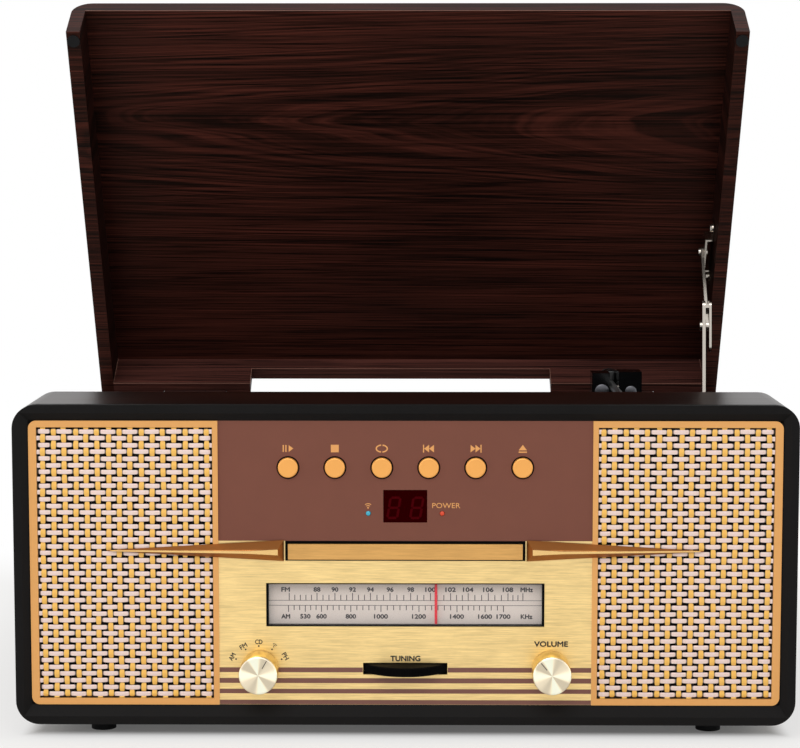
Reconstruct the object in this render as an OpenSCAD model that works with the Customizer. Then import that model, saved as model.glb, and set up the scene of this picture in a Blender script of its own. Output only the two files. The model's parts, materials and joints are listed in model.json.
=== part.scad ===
// Stereo music centre: a wooden cabinet with a fascia between two woven
// grilles, and a turntable under a full-width lid that a folding stay holds
// open. Millimetres. X to the right, Y to the back, Z up. Each piece is drawn
// from the front face of the cabinet (Y 0) and the floor (Z 0), and place()
// then puts the origin under the middle of the whole object.

/* [Cabinet] */
// Width of the cabinet and of the lid
body_w = 495; // [470:1:600]
// Depth of the cabinet, front face to back
body_d = 405; // [398:1:490]
// Height of the cabinet without its feet
body_h = 204.5; // [203:0.5:250]
// Radius of the four long corners
corner_r = 15; // [11:1:20]
// Thickness of the wooden walls
wall = 10; // [8:0.5:12]
// Depth of the fixed top board in front of the lid
block_d = 80; // [76:1:90]
// Height of each foot
foot_h = 10.5; // [6:0.5:20]
// Radius of each foot
foot_r = 8; // [6:0.5:12]
// Distance from the cabinet's middle to a foot, sideways
foot_x = 196.5; // [150:0.5:210]
// Distance from the front face to the front feet
foot_y = 34; // [25:1:60]
// Thickness of the wooden back panel
back_t = 10; // [8:0.5:12]

/* [Lid] */
// Height of the lid from its rim to its top
lid_h = 46; // [44:1:60]
// Thickness of the lid's top panel
lid_top = 12; // [8:1:14]
// Thickness of the rail across the back of the lid
rail_t = 10; // [8:0.5:12]
// Drop from the fixed top board to the lid's rim
lid_drop = 36; // [33:0.5:38]
// Angle to which the stay holds the lid open
lid_open = 60; // [60:1:60]
// Gap between the closed lid and the fixed top board
lid_gap = 1; // [0.6:0.1:2]
// Gap between the two wooden rims when the lid is shut
rim_gap = 1.6; // [1.2:0.1:3]
// Width of the cable notch in the back rail
notch_w = 242; // [150:1:260]
// Place of the notch's middle, from the middle of the lid
notch_x = -6.4; // [-20:0.1:20]
// Depth of the cable notch
notch_h = 20.5; // [12:0.5:22]
// Radius of a rubber bumper
bumper_r = 4.6; // [3:0.1:4.8]

/* [Hinges and stay] */
// Radius of a hinge barrel
barrel_r = 3; // [2.5:0.1:4]
// Radius of a hinge pin
hinge_pin_r = 1.2; // [1:0.05:1.4]
// Length of a hinge
hinge_len = 50; // [40:1:60]
// Distance from the cabinet's middle to a hinge
hinge_x = 172; // [165:1:190]
// Distance from the hinge line to the stay's lid pivot, along the rim
stay_along = 122.4; // [122:0.1:123]
// Distance from the rim plane into the lid to the stay's lid pivot
stay_inset = 20.5; // [20:0.1:21]
// Length of the stay's upper arm between pivots
upper_arm_len = 66.8; // [66:0.1:67]
// Length of the stay's lower arm between pivots
lower_arm_len = 84; // [83.5:0.1:84.5]
// Direction of the upper arm with the lid open, from the back
upper_arm_angle = -125; // [-126:0.5:-124]
// Direction of the lower arm with the lid open, from the back
lower_arm_angle = -95.8; // [-97:0.1:-95]
// Radius of the stay's rivets
rivet_r = 2; // [1.5:0.1:2.4]

/* [Front] */
// Depth from the bezel's front face to the fascia
recess = 4; // [3:0.5:5]
// Width of the bezel's flat front band
bezel_band = 5.2; // [4:0.1:7]
// Width of the bezel at each side
bezel_side = 9.8; // [9:0.1:14]
// Width of the bezel at the top
bezel_top = 10.3; // [10.2:0.1:11]
// Width of the bezel at the bottom
bezel_bottom = 12.2; // [11:0.1:13]
// Thickness of the fascia plates
fascia_t = 2; // [1.5:0.1:3]
// Thickness of the baffle board behind them
baffle_t = 8; // [6:0.5:9]
// Width of the fascia between the grilles
fascia_w = 236.6; // [230:0.1:244]
// Height of the join between the two fascia plates above the floor
fascia_split = 128.2; // [127:0.1:130]
// Width of a grille frame's border
grille_border = 4.2; // [3:0.1:6]
// How much nearer the fascia a grille lies than the middle of its frame
grille_in = 0.8; // [0:0.1:1.2]
// Thickness of the grille cloth on its board
cloth_t = 1.5; // [1:0.1:2]

/* [Controls] */
// Radius of a push button
button_r = 6.4; // [5:0.1:7]
// Spacing of the push buttons
button_pitch = 29.6; // [20:0.1:30]
// Height of the push buttons above the floor
button_z = 175; // [172:0.5:182]
// Travel of a push button
button_travel = 1.5; // [1:0.1:1.8]
// Radius of a knob
knob_r = 12.2; // [9:0.1:14]
// Distance that a knob stands out in front of the fascia
knob_out = 21; // [14:0.5:24]
// Distance from the cabinet's middle to a knob
knob_x = 92.3; // [88:0.1:98]
// Height of the knobs above the floor
knob_z = 46; // [42:0.5:50]
// Radius of a knob's shaft
shaft_r = 3; // [2.5:0.1:3.2]
// Radius of the tuning wheel
wheel_r = 32; // [28:0.5:34]
// Thickness of the tuning wheel
wheel_t = 6.2; // [4:0.1:7]
// Distance that the tuning wheel stands out in front of the fascia
wheel_out = 12; // [8:0.5:13]
// Width of the dial opening
dial_w = 176.5; // [150:0.5:178]
// Height of the dial opening
dial_h = 27.9; // [24:0.1:28]
// Height of the dial's middle above the floor
dial_z = 87.15; // [86:0.05:88]
// Place of the pointer along the dial, from its middle
pointer_x = 19.5; // [-60:0.5:60]
// Width of the digit display
display_w = 27.8; // [20:0.1:36]
// Height of the digit display
display_h = 20.8; // [14:0.1:22]
// Height of the display's middle above the floor
display_z = 150.4; // [149:0.1:151]

/* [Disc drawer] */
// Width of the drawer's front
drawer_w = 148.4; // [146:0.1:150]
// Height of the drawer's front
drawer_h = 9.9; // [9.9:0.1:10.5]
// Height of the drawer's middle above the floor
drawer_z = 121.35; // [121:0.05:122]
// Length of the disc tray behind its front
tray_l = 158; // [150:1:165]
// Radius of the tray's disc seat
disc_seat_r = 60.6; // [60.3:0.1:62]
// Radius of the disc hub
hub_r = 7.4; // [7.2:0.05:7.45]

/* [Turntable] */
// Height of the deck plate's top below the lid's rim
deck_drop = 14; // [14:0.5:17]
// Thickness of the deck plate
deck_t = 4; // [3:0.5:6]
// Radius of the platter
platter_r = 140; // [110:1:144]
// Radius of the record spindle
spindle_r = 3.575; // [3.5:0.005:3.6]
// Place of the platter's axis, sideways
platter_x = -22; // [-30:1:-18]
// Distance from the platter's axis to the arm's pivot, sideways
arm_dx = 180; // [176:1:184]
// Distance from the platter's axis back to the arm's pivot
arm_dy = 87.5; // [84:0.5:90]
// Length of the tonearm from pivot to stylus
arm_len = 215; // [205:1:220]
// Radius of the tonearm's tube
arm_tube_r = 3; // [2.5:0.1:3.1]
// Radius of the belt rim under the platter
belt_rim_r = 82; // [70:1:90]
// Radius of the motor pulley
pulley_r = 5; // [4:0.5:7]

/* [Clearances] */
// Radial running clearance of a shaft in its bush
run_gap = 0.05; // [0.02:0.01:0.1]
// Gap between pieces that move past each other
move_gap = 0.3; // [0.3:0.05:0.4]
// Gap round a piece that is set into an opening
fit_gap = 0.15; // [0.1:0.05:0.3]

/* [Hidden] */
$fn = 64;
top_z = foot_h + body_h;
body_mid_z = foot_h + body_h / 2;
rim_z = top_z - lid_drop;
side_x = body_w / 2 - wall;
floor_z = foot_h + wall;
bezel_t = recess + fascia_t;
baffle_y = bezel_t + baffle_t;
open_x = body_w / 2 - bezel_side;
open_z0 = foot_h + bezel_bottom;
open_z1 = top_z - bezel_top;
fascia_x = fascia_w / 2;
frame_mid_x = (fascia_x + open_x) / 2;
grille_mid_x = frame_mid_x - grille_in;
grille_mid_z = (open_z0 + open_z1) / 2;
lid_in = lid_h - lid_top;
knob_front = recess - knob_out;
lid_back = body_d + lid_h * sin(lid_open);
centre_y = (knob_front + lid_back) / 2;
deck_z = rim_z - deck_drop;
deck_y0 = block_d + fit_gap;
deck_y1 = body_d - back_t - fit_gap;
deck_x = side_x - fit_gap;
platter_y = (block_d + body_d - back_t) / 2;
platter_top = deck_z + 15;
mat_t = 2;
spindle_foot_r = spindle_r + 0.6;
arm_x = platter_x + arm_dx;
arm_y = platter_y + arm_dy;
arm_z = deck_z + 28;
tray_x = drawer_w / 2 - 0.7;
tray_y0 = recess + 1.5;
tray_z = drawer_z - 4.3;
tray_t = 7;
disc_y = tray_y0 + disc_seat_r + 12;
mech_z = tray_z - 12.5;
wheel_y = recess - wheel_out + wheel_r;
wheel_z = knob_z - wheel_t / 2;
plate_y = recess + 5.5;
motor_reach = belt_rim_r + pulley_r + 10;
motor_x = platter_x - motor_reach * cos(45);
motor_y = platter_y + motor_reach * sin(45);
lid_pivot = [body_d - stay_along, rim_z + stay_inset];
stay_top = swing_point(lid_pivot);
stay_elbow = stay_top + upper_arm_len * [cos(upper_arm_angle), sin(upper_arm_angle)];
stay_foot = stay_elbow + lower_arm_len * [cos(lower_arm_angle), sin(lower_arm_angle)];
upper_arm_x = side_x - 9.3;
upper_arm_t = 2.2;
lower_arm_x = upper_arm_x - move_gap - 2.4;
stay_w = 8;
cleat = 12;
cheek_x = upper_arm_x + upper_arm_t + move_gap;
button_names_x = [for (i = [0:5]) (i - 2.5) * button_pitch];

wood = [0.16, 0.09, 0.07];
black = [0.10, 0.10, 0.10];
gold = [0.85, 0.66, 0.38];
pale_gold = [0.90, 0.78, 0.52];
brown = [0.50, 0.31, 0.25];
steel = [0.72, 0.71, 0.69];
board_green = [0.10, 0.30, 0.18];

// Where a point of the shut lid, as [y, z], lies when the lid is open
function swing_point(p) =
    let (dy = p[0] - body_d, dz = p[1] - rim_z)
    [body_d + dy * cos(lid_open) + dz * sin(lid_open),
     rim_z - dy * sin(lid_open) + dz * cos(lid_open)];

// Helpers
module place() {
    translate([0, -centre_y, 0]) children();
}

module lid_place() {
    place() translate([0, body_d, rim_z]) rotate([-lid_open, 0, 0])
        translate([0, -body_d, -rim_z]) children();
}

module block(x0, x1, y0, y1, z0, z1) {
    translate([x0, y0, z0]) cube([x1 - x0, y1 - y0, z1 - z0]);
}

module rounded_rect(w, h, r) {
    square([w - 2 * r, h], center = true);
    square([w, h - 2 * r], center = true);
    for (x = [-1, 1], z = [-1, 1])
        translate([x * (w / 2 - r), z * (h / 2 - r)]) circle(r);
}

// Extrudes an outline drawn in X and Z from y0 back to y1
module prism_y(y0, y1) {
    translate([0, y1, 0]) rotate([90, 0, 0]) linear_extrude(y1 - y0) children();
}

module rod_y(x, z, r, y0, y1) {
    translate([x, y1, z]) rotate([90, 0, 0]) cylinder(r = r, h = y1 - y0);
}

module rod_x(y, z, r, x0, x1) {
    translate([x0, y, z]) rotate([0, 90, 0]) cylinder(r = r, h = x1 - x0);
}

module rod_z(x, y, r, z0, z1) {
    translate([x, y, z0]) cylinder(r = r, h = z1 - z0);
}

// Turns a profile of [radius, distance behind the front] about an axis along Y
module turned_y(x, z, y0) {
    translate([x, y0, z]) rotate([-90, 0, 0]) rotate_extrude() children();
}

// A flat bar with round ends between two [y, z] points
module bar_x(a, b, w, x0, x1) {
    run = norm(b - a);
    translate([0, a[0], a[1]]) rotate([atan2(b[1] - a[1], b[0] - a[0]), 0, 0]) {
        rod_x(0, 0, w / 2, x0, x1);
        rod_x(run, 0, w / 2, x0, x1);
        block(x0, x1, 0, run, -w / 2, w / 2);
    }
}

module mirrored_x() {
    children();
    mirror([1, 0, 0]) children();
}

// Cabinet
module cabinet_shell() {
    cleat_z1 = deck_z - deck_t;
    slot_y0 = stay_foot[0] - 112;
    slot_y1 = stay_foot[0] + 22;
    place() color(wood) difference() {
        union() {
            difference() {
                prism_y(bezel_t, body_d) translate([0, body_mid_z])
                    rounded_rect(body_w, body_h, corner_r);
                block(-side_x, side_x, 0, body_d + 1, floor_z, top_z - wall);
                block(-body_w, body_w, block_d, body_d + 1, rim_z - rim_gap, top_z + 1);
            }
            block(-side_x, side_x, block_d - wall, block_d, cleat_z1 - cleat, top_z - wall);
            block(-side_x, -side_x + cleat, block_d, deck_y1, cleat_z1 - cleat, cleat_z1);
            block(side_x - cleat, side_x, block_d, slot_y0, cleat_z1 - cleat, cleat_z1);
            block(side_x - cleat, side_x, slot_y1, deck_y1, cleat_z1 - cleat, cleat_z1);
            mirrored_x() block(side_x - cleat, side_x, body_d - back_t - cleat,
                body_d - back_t, floor_z, cleat_z1 - cleat);
        }
        back_screws(1.5, body_d - back_t - 8, body_d);
    }
}

// The places of the back panel's screws, as rods of radius r
module back_screws(r, y0, y1) {
    for (x = [-1, 1], z = [floor_z + 12, body_mid_z - 12, deck_z - deck_t - 2 * cleat])
        rod_y(x * (side_x - cleat / 2), z, r, y0, y1);
}

// Rounded hollows that the hinge barrels turn in
module hinge_rebates() {
    for (x = [-hinge_x, hinge_x])
        rod_x(body_d, rim_z, barrel_r + 0.4, x - hinge_len / 2 - 0.5,
            x + hinge_len / 2 + 0.5);
}

module rear_panel() {
    place() color(wood) difference() {
        block(-side_x + fit_gap, side_x - fit_gap, body_d - back_t, body_d,
            floor_z + fit_gap, rim_z - rim_gap);
        back_screws(1.5, body_d - back_t - 1, body_d + 1);
        hinge_rebates();
        socket_opening(0);
        for (i = [0:6])
            block(-160 + i * 12, -155 + i * 12, body_d - back_t - 1, body_d + 1, 70, 120);
    }
}

// The opening in the back panel for the block of sockets
module socket_opening(gap) {
    block(90 - gap, 180 + gap, body_d - back_t - 1, body_d + 1, 50 - gap, 84 + gap);
}

module rear_sockets() {
    face = body_d + 2;
    place() color(black) difference() {
        union() {
            block(86, 184, body_d, face, 46, 88);
            block(90 + fit_gap, 180 - fit_gap, body_d - 14, body_d, 50 + fit_gap,
                84 - fit_gap);
            for (x = [104, 122]) rod_y(x, 67, 4.15, face, face + 9);
            rod_y(138, 67, 5, face, face + 1.5);
        }
        for (x = [104, 122]) rod_y(x, 67, 1.6, face - 4, face + 10);
        rod_y(138, 67, 1.75, face - 12, face + 2);
        block(150, 174, face - 10, face + 1, 61, 73);
    }
}

module feet() {
    place() color(black) for (x = [-foot_x, foot_x], y = [foot_y, body_d - foot_y])
        rod_z(x, y, foot_r, 0, foot_h);
}

module case_screws() {
    place() color(steel) {
        back_screws(3.4, body_d, body_d + 1.4);
        back_screws(1.4, body_d - back_t - 7, body_d);
    }
}

// Front
module front_bezel() {
    place() color(black) difference() {
        prism_y(0, bezel_t) translate([0, body_mid_z])
            rounded_rect(body_w, body_h, corner_r);
        block(-open_x, open_x, recess - 0.5, bezel_t + 1, open_z0, open_z1);
        bezel_slope();
    }
}

// The sloping mouth of the bezel: wide at the front, narrow at the fascia
module bezel_slope() {
    steps = [[-0.01, 0], [recess, 1]];
    corners = [for (s = steps) let (k = s[1], x = (body_w / 2 - bezel_band) * (1 - k)
        + open_x * k, z0 = (foot_h + bezel_band) * (1 - k) + open_z0 * k,
        z1 = (top_z - bezel_band) * (1 - k) + open_z1 * k)
        each [[-x, s[0], z0], [x, s[0], z0], [x, s[0], z1], [-x, s[0], z1]]];
    polyhedron(corners, [[3, 2, 1, 0], [4, 5, 6, 7], [0, 1, 5, 4], [1, 2, 6, 5],
        [2, 3, 7, 6], [3, 0, 4, 7]]);
}

module front_baffle() {
    place() color(black) difference() {
        block(-side_x + fit_gap, side_x - fit_gap, bezel_t, baffle_y, floor_z + fit_gap,
            top_z - wall - fit_gap);
        for (x = [-frame_mid_x, frame_mid_x])
            rod_y(x, grille_mid_z, 46, bezel_t - 1, baffle_y + 1);
        block(-fascia_x + 20, fascia_x - 20, bezel_t - 1, baffle_y + 1,
            fascia_split + 8, open_z1 - 6);
        block(-tray_x - 1.5, tray_x + 1.5, bezel_t - 1, baffle_y + 1, tray_z - 1.5,
            tray_z + tray_t + 2);
        block(-dial_w / 2 - 4, dial_w / 2 + 4, bezel_t - 1, baffle_y + 1,
            dial_z - dial_h / 2 - 4, dial_z + dial_h / 2 + 3.4);
        block(-wheel_r - 1, wheel_r + 1, bezel_t - 1, baffle_y + 1, wheel_z - 1.5,
            wheel_z + wheel_t + 1.5);
        for (x = [-knob_x, knob_x]) rod_y(x, knob_z, 4.6, bezel_t - 1, baffle_y + 1);
    }
}

module upper_fascia() {
    place() color(brown) difference() {
        block(-fascia_x, fascia_x, recess, bezel_t, fascia_split, open_z1);
        for (x = button_names_x)
            rod_y(x, button_z, button_r + 0.35, recess - 1, bezel_t + 1);
        display_opening(0);
        for (x = [-1, 1])
            rod_y(x * (display_w / 2 + 9.4), display_z - 4.6, 1.5 + fit_gap, recess - 1,
                bezel_t + 1);
    }
}

module display_opening(gap) {
    block(-display_w / 2 + gap, display_w / 2 - gap, recess - 0.2, bezel_t + 0.2,
        display_z - display_h / 2 + gap, display_z + display_h / 2 - gap);
}

module lower_fascia() {
    place() color(pale_gold) difference() {
        block(-fascia_x, fascia_x, recess, bezel_t, open_z0, fascia_split);
        block(-drawer_w / 2 - 1.8, drawer_w / 2 + 1.8, recess - 1, bezel_t + 1,
            drawer_z - drawer_h / 2 - 0.9, fascia_split + 1);
        block(-dial_w / 2, dial_w / 2, recess - 1, bezel_t + 1, dial_z - dial_h / 2,
            dial_z + dial_h / 2);
        block(-wheel_r + 5.2, wheel_r - 5.2, recess - 1, bezel_t + 1, wheel_z - 0.7,
            wheel_z + wheel_t + 0.7);
        for (x = [-knob_x, knob_x]) rod_y(x, knob_z, 4.6, recess - 1, bezel_t + 1);
    }
}

module grille_frame(side) {
    corner = 5;
    place() color(gold) difference() {
        union() {
            block(min(side * fascia_x, side * (open_x - corner)),
                max(side * fascia_x, side * (open_x - corner)), recess - 1, bezel_t,
                open_z0, open_z1);
            prism_y(recess - 1, bezel_t) translate([side * frame_mid_x, grille_mid_z])
                rounded_rect(open_x - fascia_x, open_z1 - open_z0, corner);
        }
        block(side * grille_mid_x - (open_x - fascia_x) / 2 + grille_border,
            side * grille_mid_x + (open_x - fascia_x) / 2 - grille_border, recess - 2,
            bezel_t + 1, open_z0 + grille_border, open_z1 - grille_border);
    }
}

module left_grille_frame() {
    grille_frame(-1);
}

module right_grille_frame() {
    grille_frame(1);
}

module grille_cloths() {
    half = (open_x - fascia_x) / 2 - grille_border - fit_gap;
    place() color([0.85, 0.72, 0.58]) for (x = [-grille_mid_x, grille_mid_x])
        block(x - half, x + half, bezel_t - cloth_t - 0.2, bezel_t,
            open_z0 + grille_border + fit_gap, open_z1 - grille_border - fit_gap);
}

// A gold trim on each side of the drawer: a long wedge with a ridge that opens
// into a three-cornered facet, over the grille
module trim_spears() {
    root = drawer_w / 2 + 2.6;
    tip = 188.5;
    z0 = drawer_z - 6;
    z1 = drawer_z + 7.5;
    mid = drawer_z + 0.6;
    back = recess - 1;
    front = -3;
    facet = root + 22;
    points = [[root, back, z0], [root, back, z1], [root + 3.6, front, mid - 1.7],
        [root + 3.6, front, mid + 1.7], [facet, front, mid], [tip, back - 0.6, mid],
        [tip, back, mid - 0.3], [tip, back, mid + 0.3]];
    place() color(gold) mirrored_x() union() {
        hull() polyhedron(points, [[0, 1, 3, 2], [2, 3, 4], [0, 2, 4, 5, 6], [1, 7, 5, 4, 3],
            [0, 6, 7, 1], [5, 7, 6]]);
        block(root + 0.5, fascia_x - 0.5, back - 0.5, recess, mid - 3.6, mid + 3.8);
    }
}

module drawer_surround() {
    x = drawer_w / 2 + 1.8 - fit_gap;
    place() color(black) difference() {
        block(-x, x, recess - 0.4, bezel_t, drawer_z - drawer_h / 2 - 0.9 + fit_gap,
            fascia_split - fit_gap);
        block(-drawer_w / 2 - 0.4, drawer_w / 2 + 0.4, recess - 1, bezel_t + 1,
            drawer_z - drawer_h / 2 - 0.4, drawer_z + drawer_h / 2 + 0.4);
    }
}

module display_window() {
    place() color([0.18, 0.01, 0.01]) intersection() {
        display_opening(fit_gap);
        block(-display_w, display_w, recess, bezel_t, 0, top_z);
    }
}

module indicator_lamps() {
    place() color([0.8, 0.3, 0.2]) for (x = [-1, 1])
        rod_y(x * (display_w / 2 + 9.4), display_z - 4.6, 1.5, recess - 0.3, baffle_y);
}

module dial_frame() {
    x = dial_w / 2 - fit_gap;
    z0 = dial_z - dial_h / 2 + fit_gap;
    z1 = dial_z + dial_h / 2 - fit_gap;
    place() color(black) difference() {
        block(-x, x, recess - 0.2, plate_y, z0, z1);
        block(-x + 1.3, x - 1.3, recess - 1, plate_y + 1, z0 + 0.5, z1 - 0.5);
        block(-x - 1, x + 1, bezel_t + 0.6, plate_y + 1, z1 - 1, z1 + 1);
    }
}

module dial_lens() {
    x = dial_w / 2 - fit_gap - 1.3;
    place() color([0.9, 0.9, 0.95, 0.3])
        block(-x, x, recess + 0.2, recess + 1.4, dial_z - dial_h / 2 + fit_gap + 0.5,
            dial_z + dial_h / 2 - fit_gap - 0.5);
}

module dial_plate() {
    x = dial_w / 2 + 3;
    z1 = dial_z + dial_h / 2 + 0.4;
    place() color([0.77, 0.71, 0.68]) {
        block(-x, x, plate_y, plate_y + 1, dial_z - dial_h / 2 - 2.6, z1);
        block(-x, x, plate_y + 3, plate_y + 5, z1 - 2.5, z1 - 0.2);
        mirrored_x() block(x - 2, x, plate_y, plate_y + 5, z1 - 6, z1 - 0.2);
    }
}

module dial_pointer() {
    z1 = dial_z + dial_h / 2 + 2.2;
    rail_back = plate_y + 5;
    place() color([0.85, 0.2, 0.25]) {
        block(pointer_x - 0.85, pointer_x + 0.85, plate_y - 2.3, plate_y - 1.5,
            dial_z - dial_h / 2 + 1, z1);
        block(pointer_x - 3, pointer_x + 3, plate_y - 2.3, rail_back + move_gap + 1.2,
            z1 - 1.4, z1);
        block(pointer_x - 3, pointer_x + 3, rail_back + move_gap,
            rail_back + move_gap + 1.2, z1 - 5, z1);
    }
}

module control_board() {
    place() color(board_green) {
        block(-fascia_x + 14, fascia_x - 14, baffle_y, baffle_y + 1.6, fascia_split + 5,
            open_z1 - 3);
        for (x = button_names_x)
            block(x - 3, x + 3, baffle_y - 3.5, baffle_y, button_z - 3, button_z + 3);
        block(-16, 16, bezel_t + 0.1, baffle_y, display_z - 12, display_z + 12);
    }
}

// A push button: round cap, retaining flange and stem
module push_button(index) {
    x = button_names_x[index];
    place() color(gold) {
        rod_y(x, button_z, button_r, recess - 2.4, bezel_t + move_gap);
        rod_y(x, button_z, button_r + 1.4, bezel_t + move_gap, bezel_t + move_gap + 1);
        rod_y(x, button_z, 1.8, bezel_t + 1, baffle_y - 3.5 - button_travel - move_gap);
    }
}

module play_pause_button() {
    push_button(0);
}

module stop_button() {
    push_button(1);
}

module repeat_button() {
    push_button(2);
}

module skip_back_button() {
    push_button(3);
}

module skip_forward_button() {
    push_button(4);
}

module eject_button() {
    push_button(5);
}

module panel_controls() {
    place() color(steel) for (x = [-knob_x, knob_x]) difference() {
        union() {
            rod_y(x, knob_z, 4.5, recess + 0.2, baffle_y);
            block(x - 9, x + 9, baffle_y, baffle_y + 12, knob_z - 9, knob_z + 9);
        }
        rod_y(x, knob_z, shaft_r + run_gap, recess - 1, baffle_y + 8.5);
    }
}

// A knob: spun front, straight sides, a skirt and a shaft
module knob(x) {
    r = knob_r;
    h = knob_out - 1.6;
    place() color(pale_gold) {
        turned_y(x, knob_z, knob_front) polygon([[0, 0.6], [r - 2.4, 0], [r - 1, 0.4],
            [r - 0.4, 1.4], [r, 6], [r, h], [0, h]]);
        rod_y(x, knob_z, shaft_r, knob_front + h - 1, baffle_y + 8);
    }
}

module selector_knob() {
    knob(-knob_x);
}

module volume_knob() {
    knob(knob_x);
}

module tuning_wheel() {
    place() color(black) {
        rod_z(0, wheel_y, wheel_r, wheel_z, wheel_z + wheel_t);
        rod_z(0, wheel_y, shaft_r, wheel_z, wheel_z + 18);
    }
}

module tuning_capacitor() {
    z0 = wheel_z + wheel_t + 3;
    place() color(steel) difference() {
        union() {
            block(-20, 20, baffle_y, baffle_y + 2, z0, z0 + 14);
            block(-16, 16, baffle_y, wheel_y + 14, z0, z0 + 12);
            block(-13, 13, baffle_y + 6, wheel_y + 12, z0 + 12, z0 + 34);
        }
        rod_z(0, wheel_y, shaft_r + run_gap, z0 - 1, z0 + 11);
    }
}

// Disc drawer
module drawer_front() {
    place() color(gold) block(-drawer_w / 2, drawer_w / 2, recess - 1.2, tray_y0,
        drawer_z - drawer_h / 2, drawer_z + drawer_h / 2);
}

module cd_tray() {
    slot = 18;
    place() color(black) difference() {
        block(-tray_x, tray_x, tray_y0, tray_y0 + tray_l, tray_z, tray_z + tray_t);
        rod_z(0, disc_y, disc_seat_r, tray_z + 3, tray_z + tray_t + 1);
        rod_z(0, disc_y, 40.5, tray_z + 2, tray_z + tray_t + 1);
        rod_z(0, disc_y, slot, tray_z - 1, tray_z + tray_t + 1);
        block(-slot, slot, disc_y, tray_y0 + tray_l + 1, tray_z - 1, tray_z + tray_t + 1);
    }
}

module cd_mechanism() {
    y1 = tray_y0 + tray_l + 14;
    out = tray_x + 3.4;
    place() color(steel) difference() {
        union() {
            block(-out, out, baffle_y, y1, mech_z, mech_z + 2);
            mirrored_x() {
                block(tray_x + move_gap, out, baffle_y, y1, mech_z, tray_z + tray_t + 2);
                block(tray_x - 3, out, baffle_y, y1, mech_z, tray_z - move_gap);
                block(tray_x - 3, out, baffle_y + 10, y1 - 20,
                    tray_z + tray_t + move_gap, tray_z + tray_t + 2);
                rod_z(tray_x - 6, y1 - 8, 4, floor_z, mech_z + 1);
            }
            rod_z(0, disc_y, 13, mech_z + 1, tray_z - 3);
            block(-14, 14, disc_y + 16, disc_y + 48, mech_z + 1, tray_z - 2);
        }
        rod_z(0, disc_y, 1.5 + run_gap, mech_z - 1, tray_z);
    }
}

module cd_spindle() {
    place() color(steel) {
        rod_z(0, disc_y, 1.5, mech_z + 0.5, tray_z - 1);
        rod_z(0, disc_y, 14, tray_z - 2.6, tray_z + 2.6);
        rod_z(0, disc_y, hub_r, tray_z + 2.6, tray_z + 4.6);
    }
}

module main_board() {
    z = floor_z + 8;
    place() color(board_green) union() {
        block(-110, 110, 190, 330, z, z + 1.6);
        for (x = [-104, 104], y = [196, 324]) rod_z(x, y, 3, floor_z, z + 0.5);
        block(-60, 20, 205, 209, z, z + 30);
        for (i = [0:3]) rod_z(-80 + i * 22, 240, 7, z, z + 24);
        block(60, 84, 230, 254, z, z + 6);
        block(-70, 50, 316, 326, z, z + 12);
    }
}

module power_transformer() {
    place() color(steel) union() {
        block(-206, -150, 290, 350, floor_z, floor_z + 2);
        block(-202, -154, 296, 344, floor_z, floor_z + 44);
        block(-194, -162, 288, 352, floor_z + 9, floor_z + 35);
    }
}

module speakers() {
    y = baffle_y;
    place() for (x = [-frame_mid_x, frame_mid_x]) {
        color(steel) turned_y(x, grille_mid_z, y) polygon([[43.4, 0], [50, 0], [50, 1.5],
            [45, 1.5], [27, 24], [32, 24], [32, 40], [0, 40], [0, 22], [25, 22]]);
        color(black) turned_y(x, grille_mid_z, y - 4) polygon([[0, 11], [8, 14], [42.1, 3],
            [42.5, 4], [9, 15.6], [0, 12.4]]);
    }
}

// Turntable
module deck_plate() {
    slot_y0 = stay_foot[0] - 110;
    slot_y1 = stay_foot[0] + 20;
    place() color(black) difference() {
        block(-deck_x, deck_x, deck_y0, deck_y1, deck_z - deck_t, deck_z);
        block(side_x - 16.5, side_x + 1, slot_y0, slot_y1, deck_z - deck_t - 1, deck_z + 1);
        rod_z(platter_x, platter_y, 8 + fit_gap, deck_z - deck_t - 1, deck_z + 1);
        rod_z(motor_x, motor_y, pulley_r + 4, deck_z - deck_t - 1, deck_z + 1);
        rod_z(arm_x, arm_y, 9 + fit_gap, deck_z - deck_t - 1, deck_z + 1);
        rod_z(lever_x(), lever_y(), shaft_r + run_gap, deck_z - deck_t - 1, deck_z + 1);
    }
}

function lever_x() = side_x - 42;
function lever_y() = block_d + 34;

module platter_bearing() {
    place() color(steel) difference() {
        union() {
            rod_z(platter_x, platter_y, 8, deck_z - 20, deck_z + 2);
            rod_z(platter_x, platter_y, 14, deck_z, deck_z + 1.5);
        }
        rod_z(platter_x, platter_y, shaft_r + run_gap, deck_z - 17, deck_z + 3);
    }
}

module platter() {
    z = platter_top;
    place() color(black) translate([platter_x, platter_y, 0]) union() {
        rotate_extrude($fn = 128) polygon([[0, z - 12], [12, z - 12], [12, z - 3],
            [belt_rim_r - 3, z - 3], [belt_rim_r - 3, z - 11], [belt_rim_r, z - 11],
            [belt_rim_r, z - 3], [platter_r - 4, z - 3], [platter_r - 4, z - 11],
            [platter_r, z - 11], [platter_r, z - 1], [platter_r - 1, z], [0, z]]);
        rod_z(0, 0, shaft_r, deck_z - 16.5, z - 1);
        translate([0, 0, z - 1]) rotate_extrude() polygon([[0, 0], [spindle_foot_r, 0],
            [spindle_foot_r, 1 + mat_t], [spindle_r, 1 + mat_t], [spindle_r, 14],
            [spindle_r - 1.4, 15.6], [0, 16]]);
    }
}

module slip_mat() {
    place() color([0.06, 0.06, 0.06]) difference() {
        rod_z(platter_x, platter_y, platter_r - 2, platter_top, platter_top + mat_t);
        rod_z(platter_x, platter_y, spindle_foot_r + run_gap, platter_top - 1,
            platter_top + mat_t + 1);
    }
}

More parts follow.
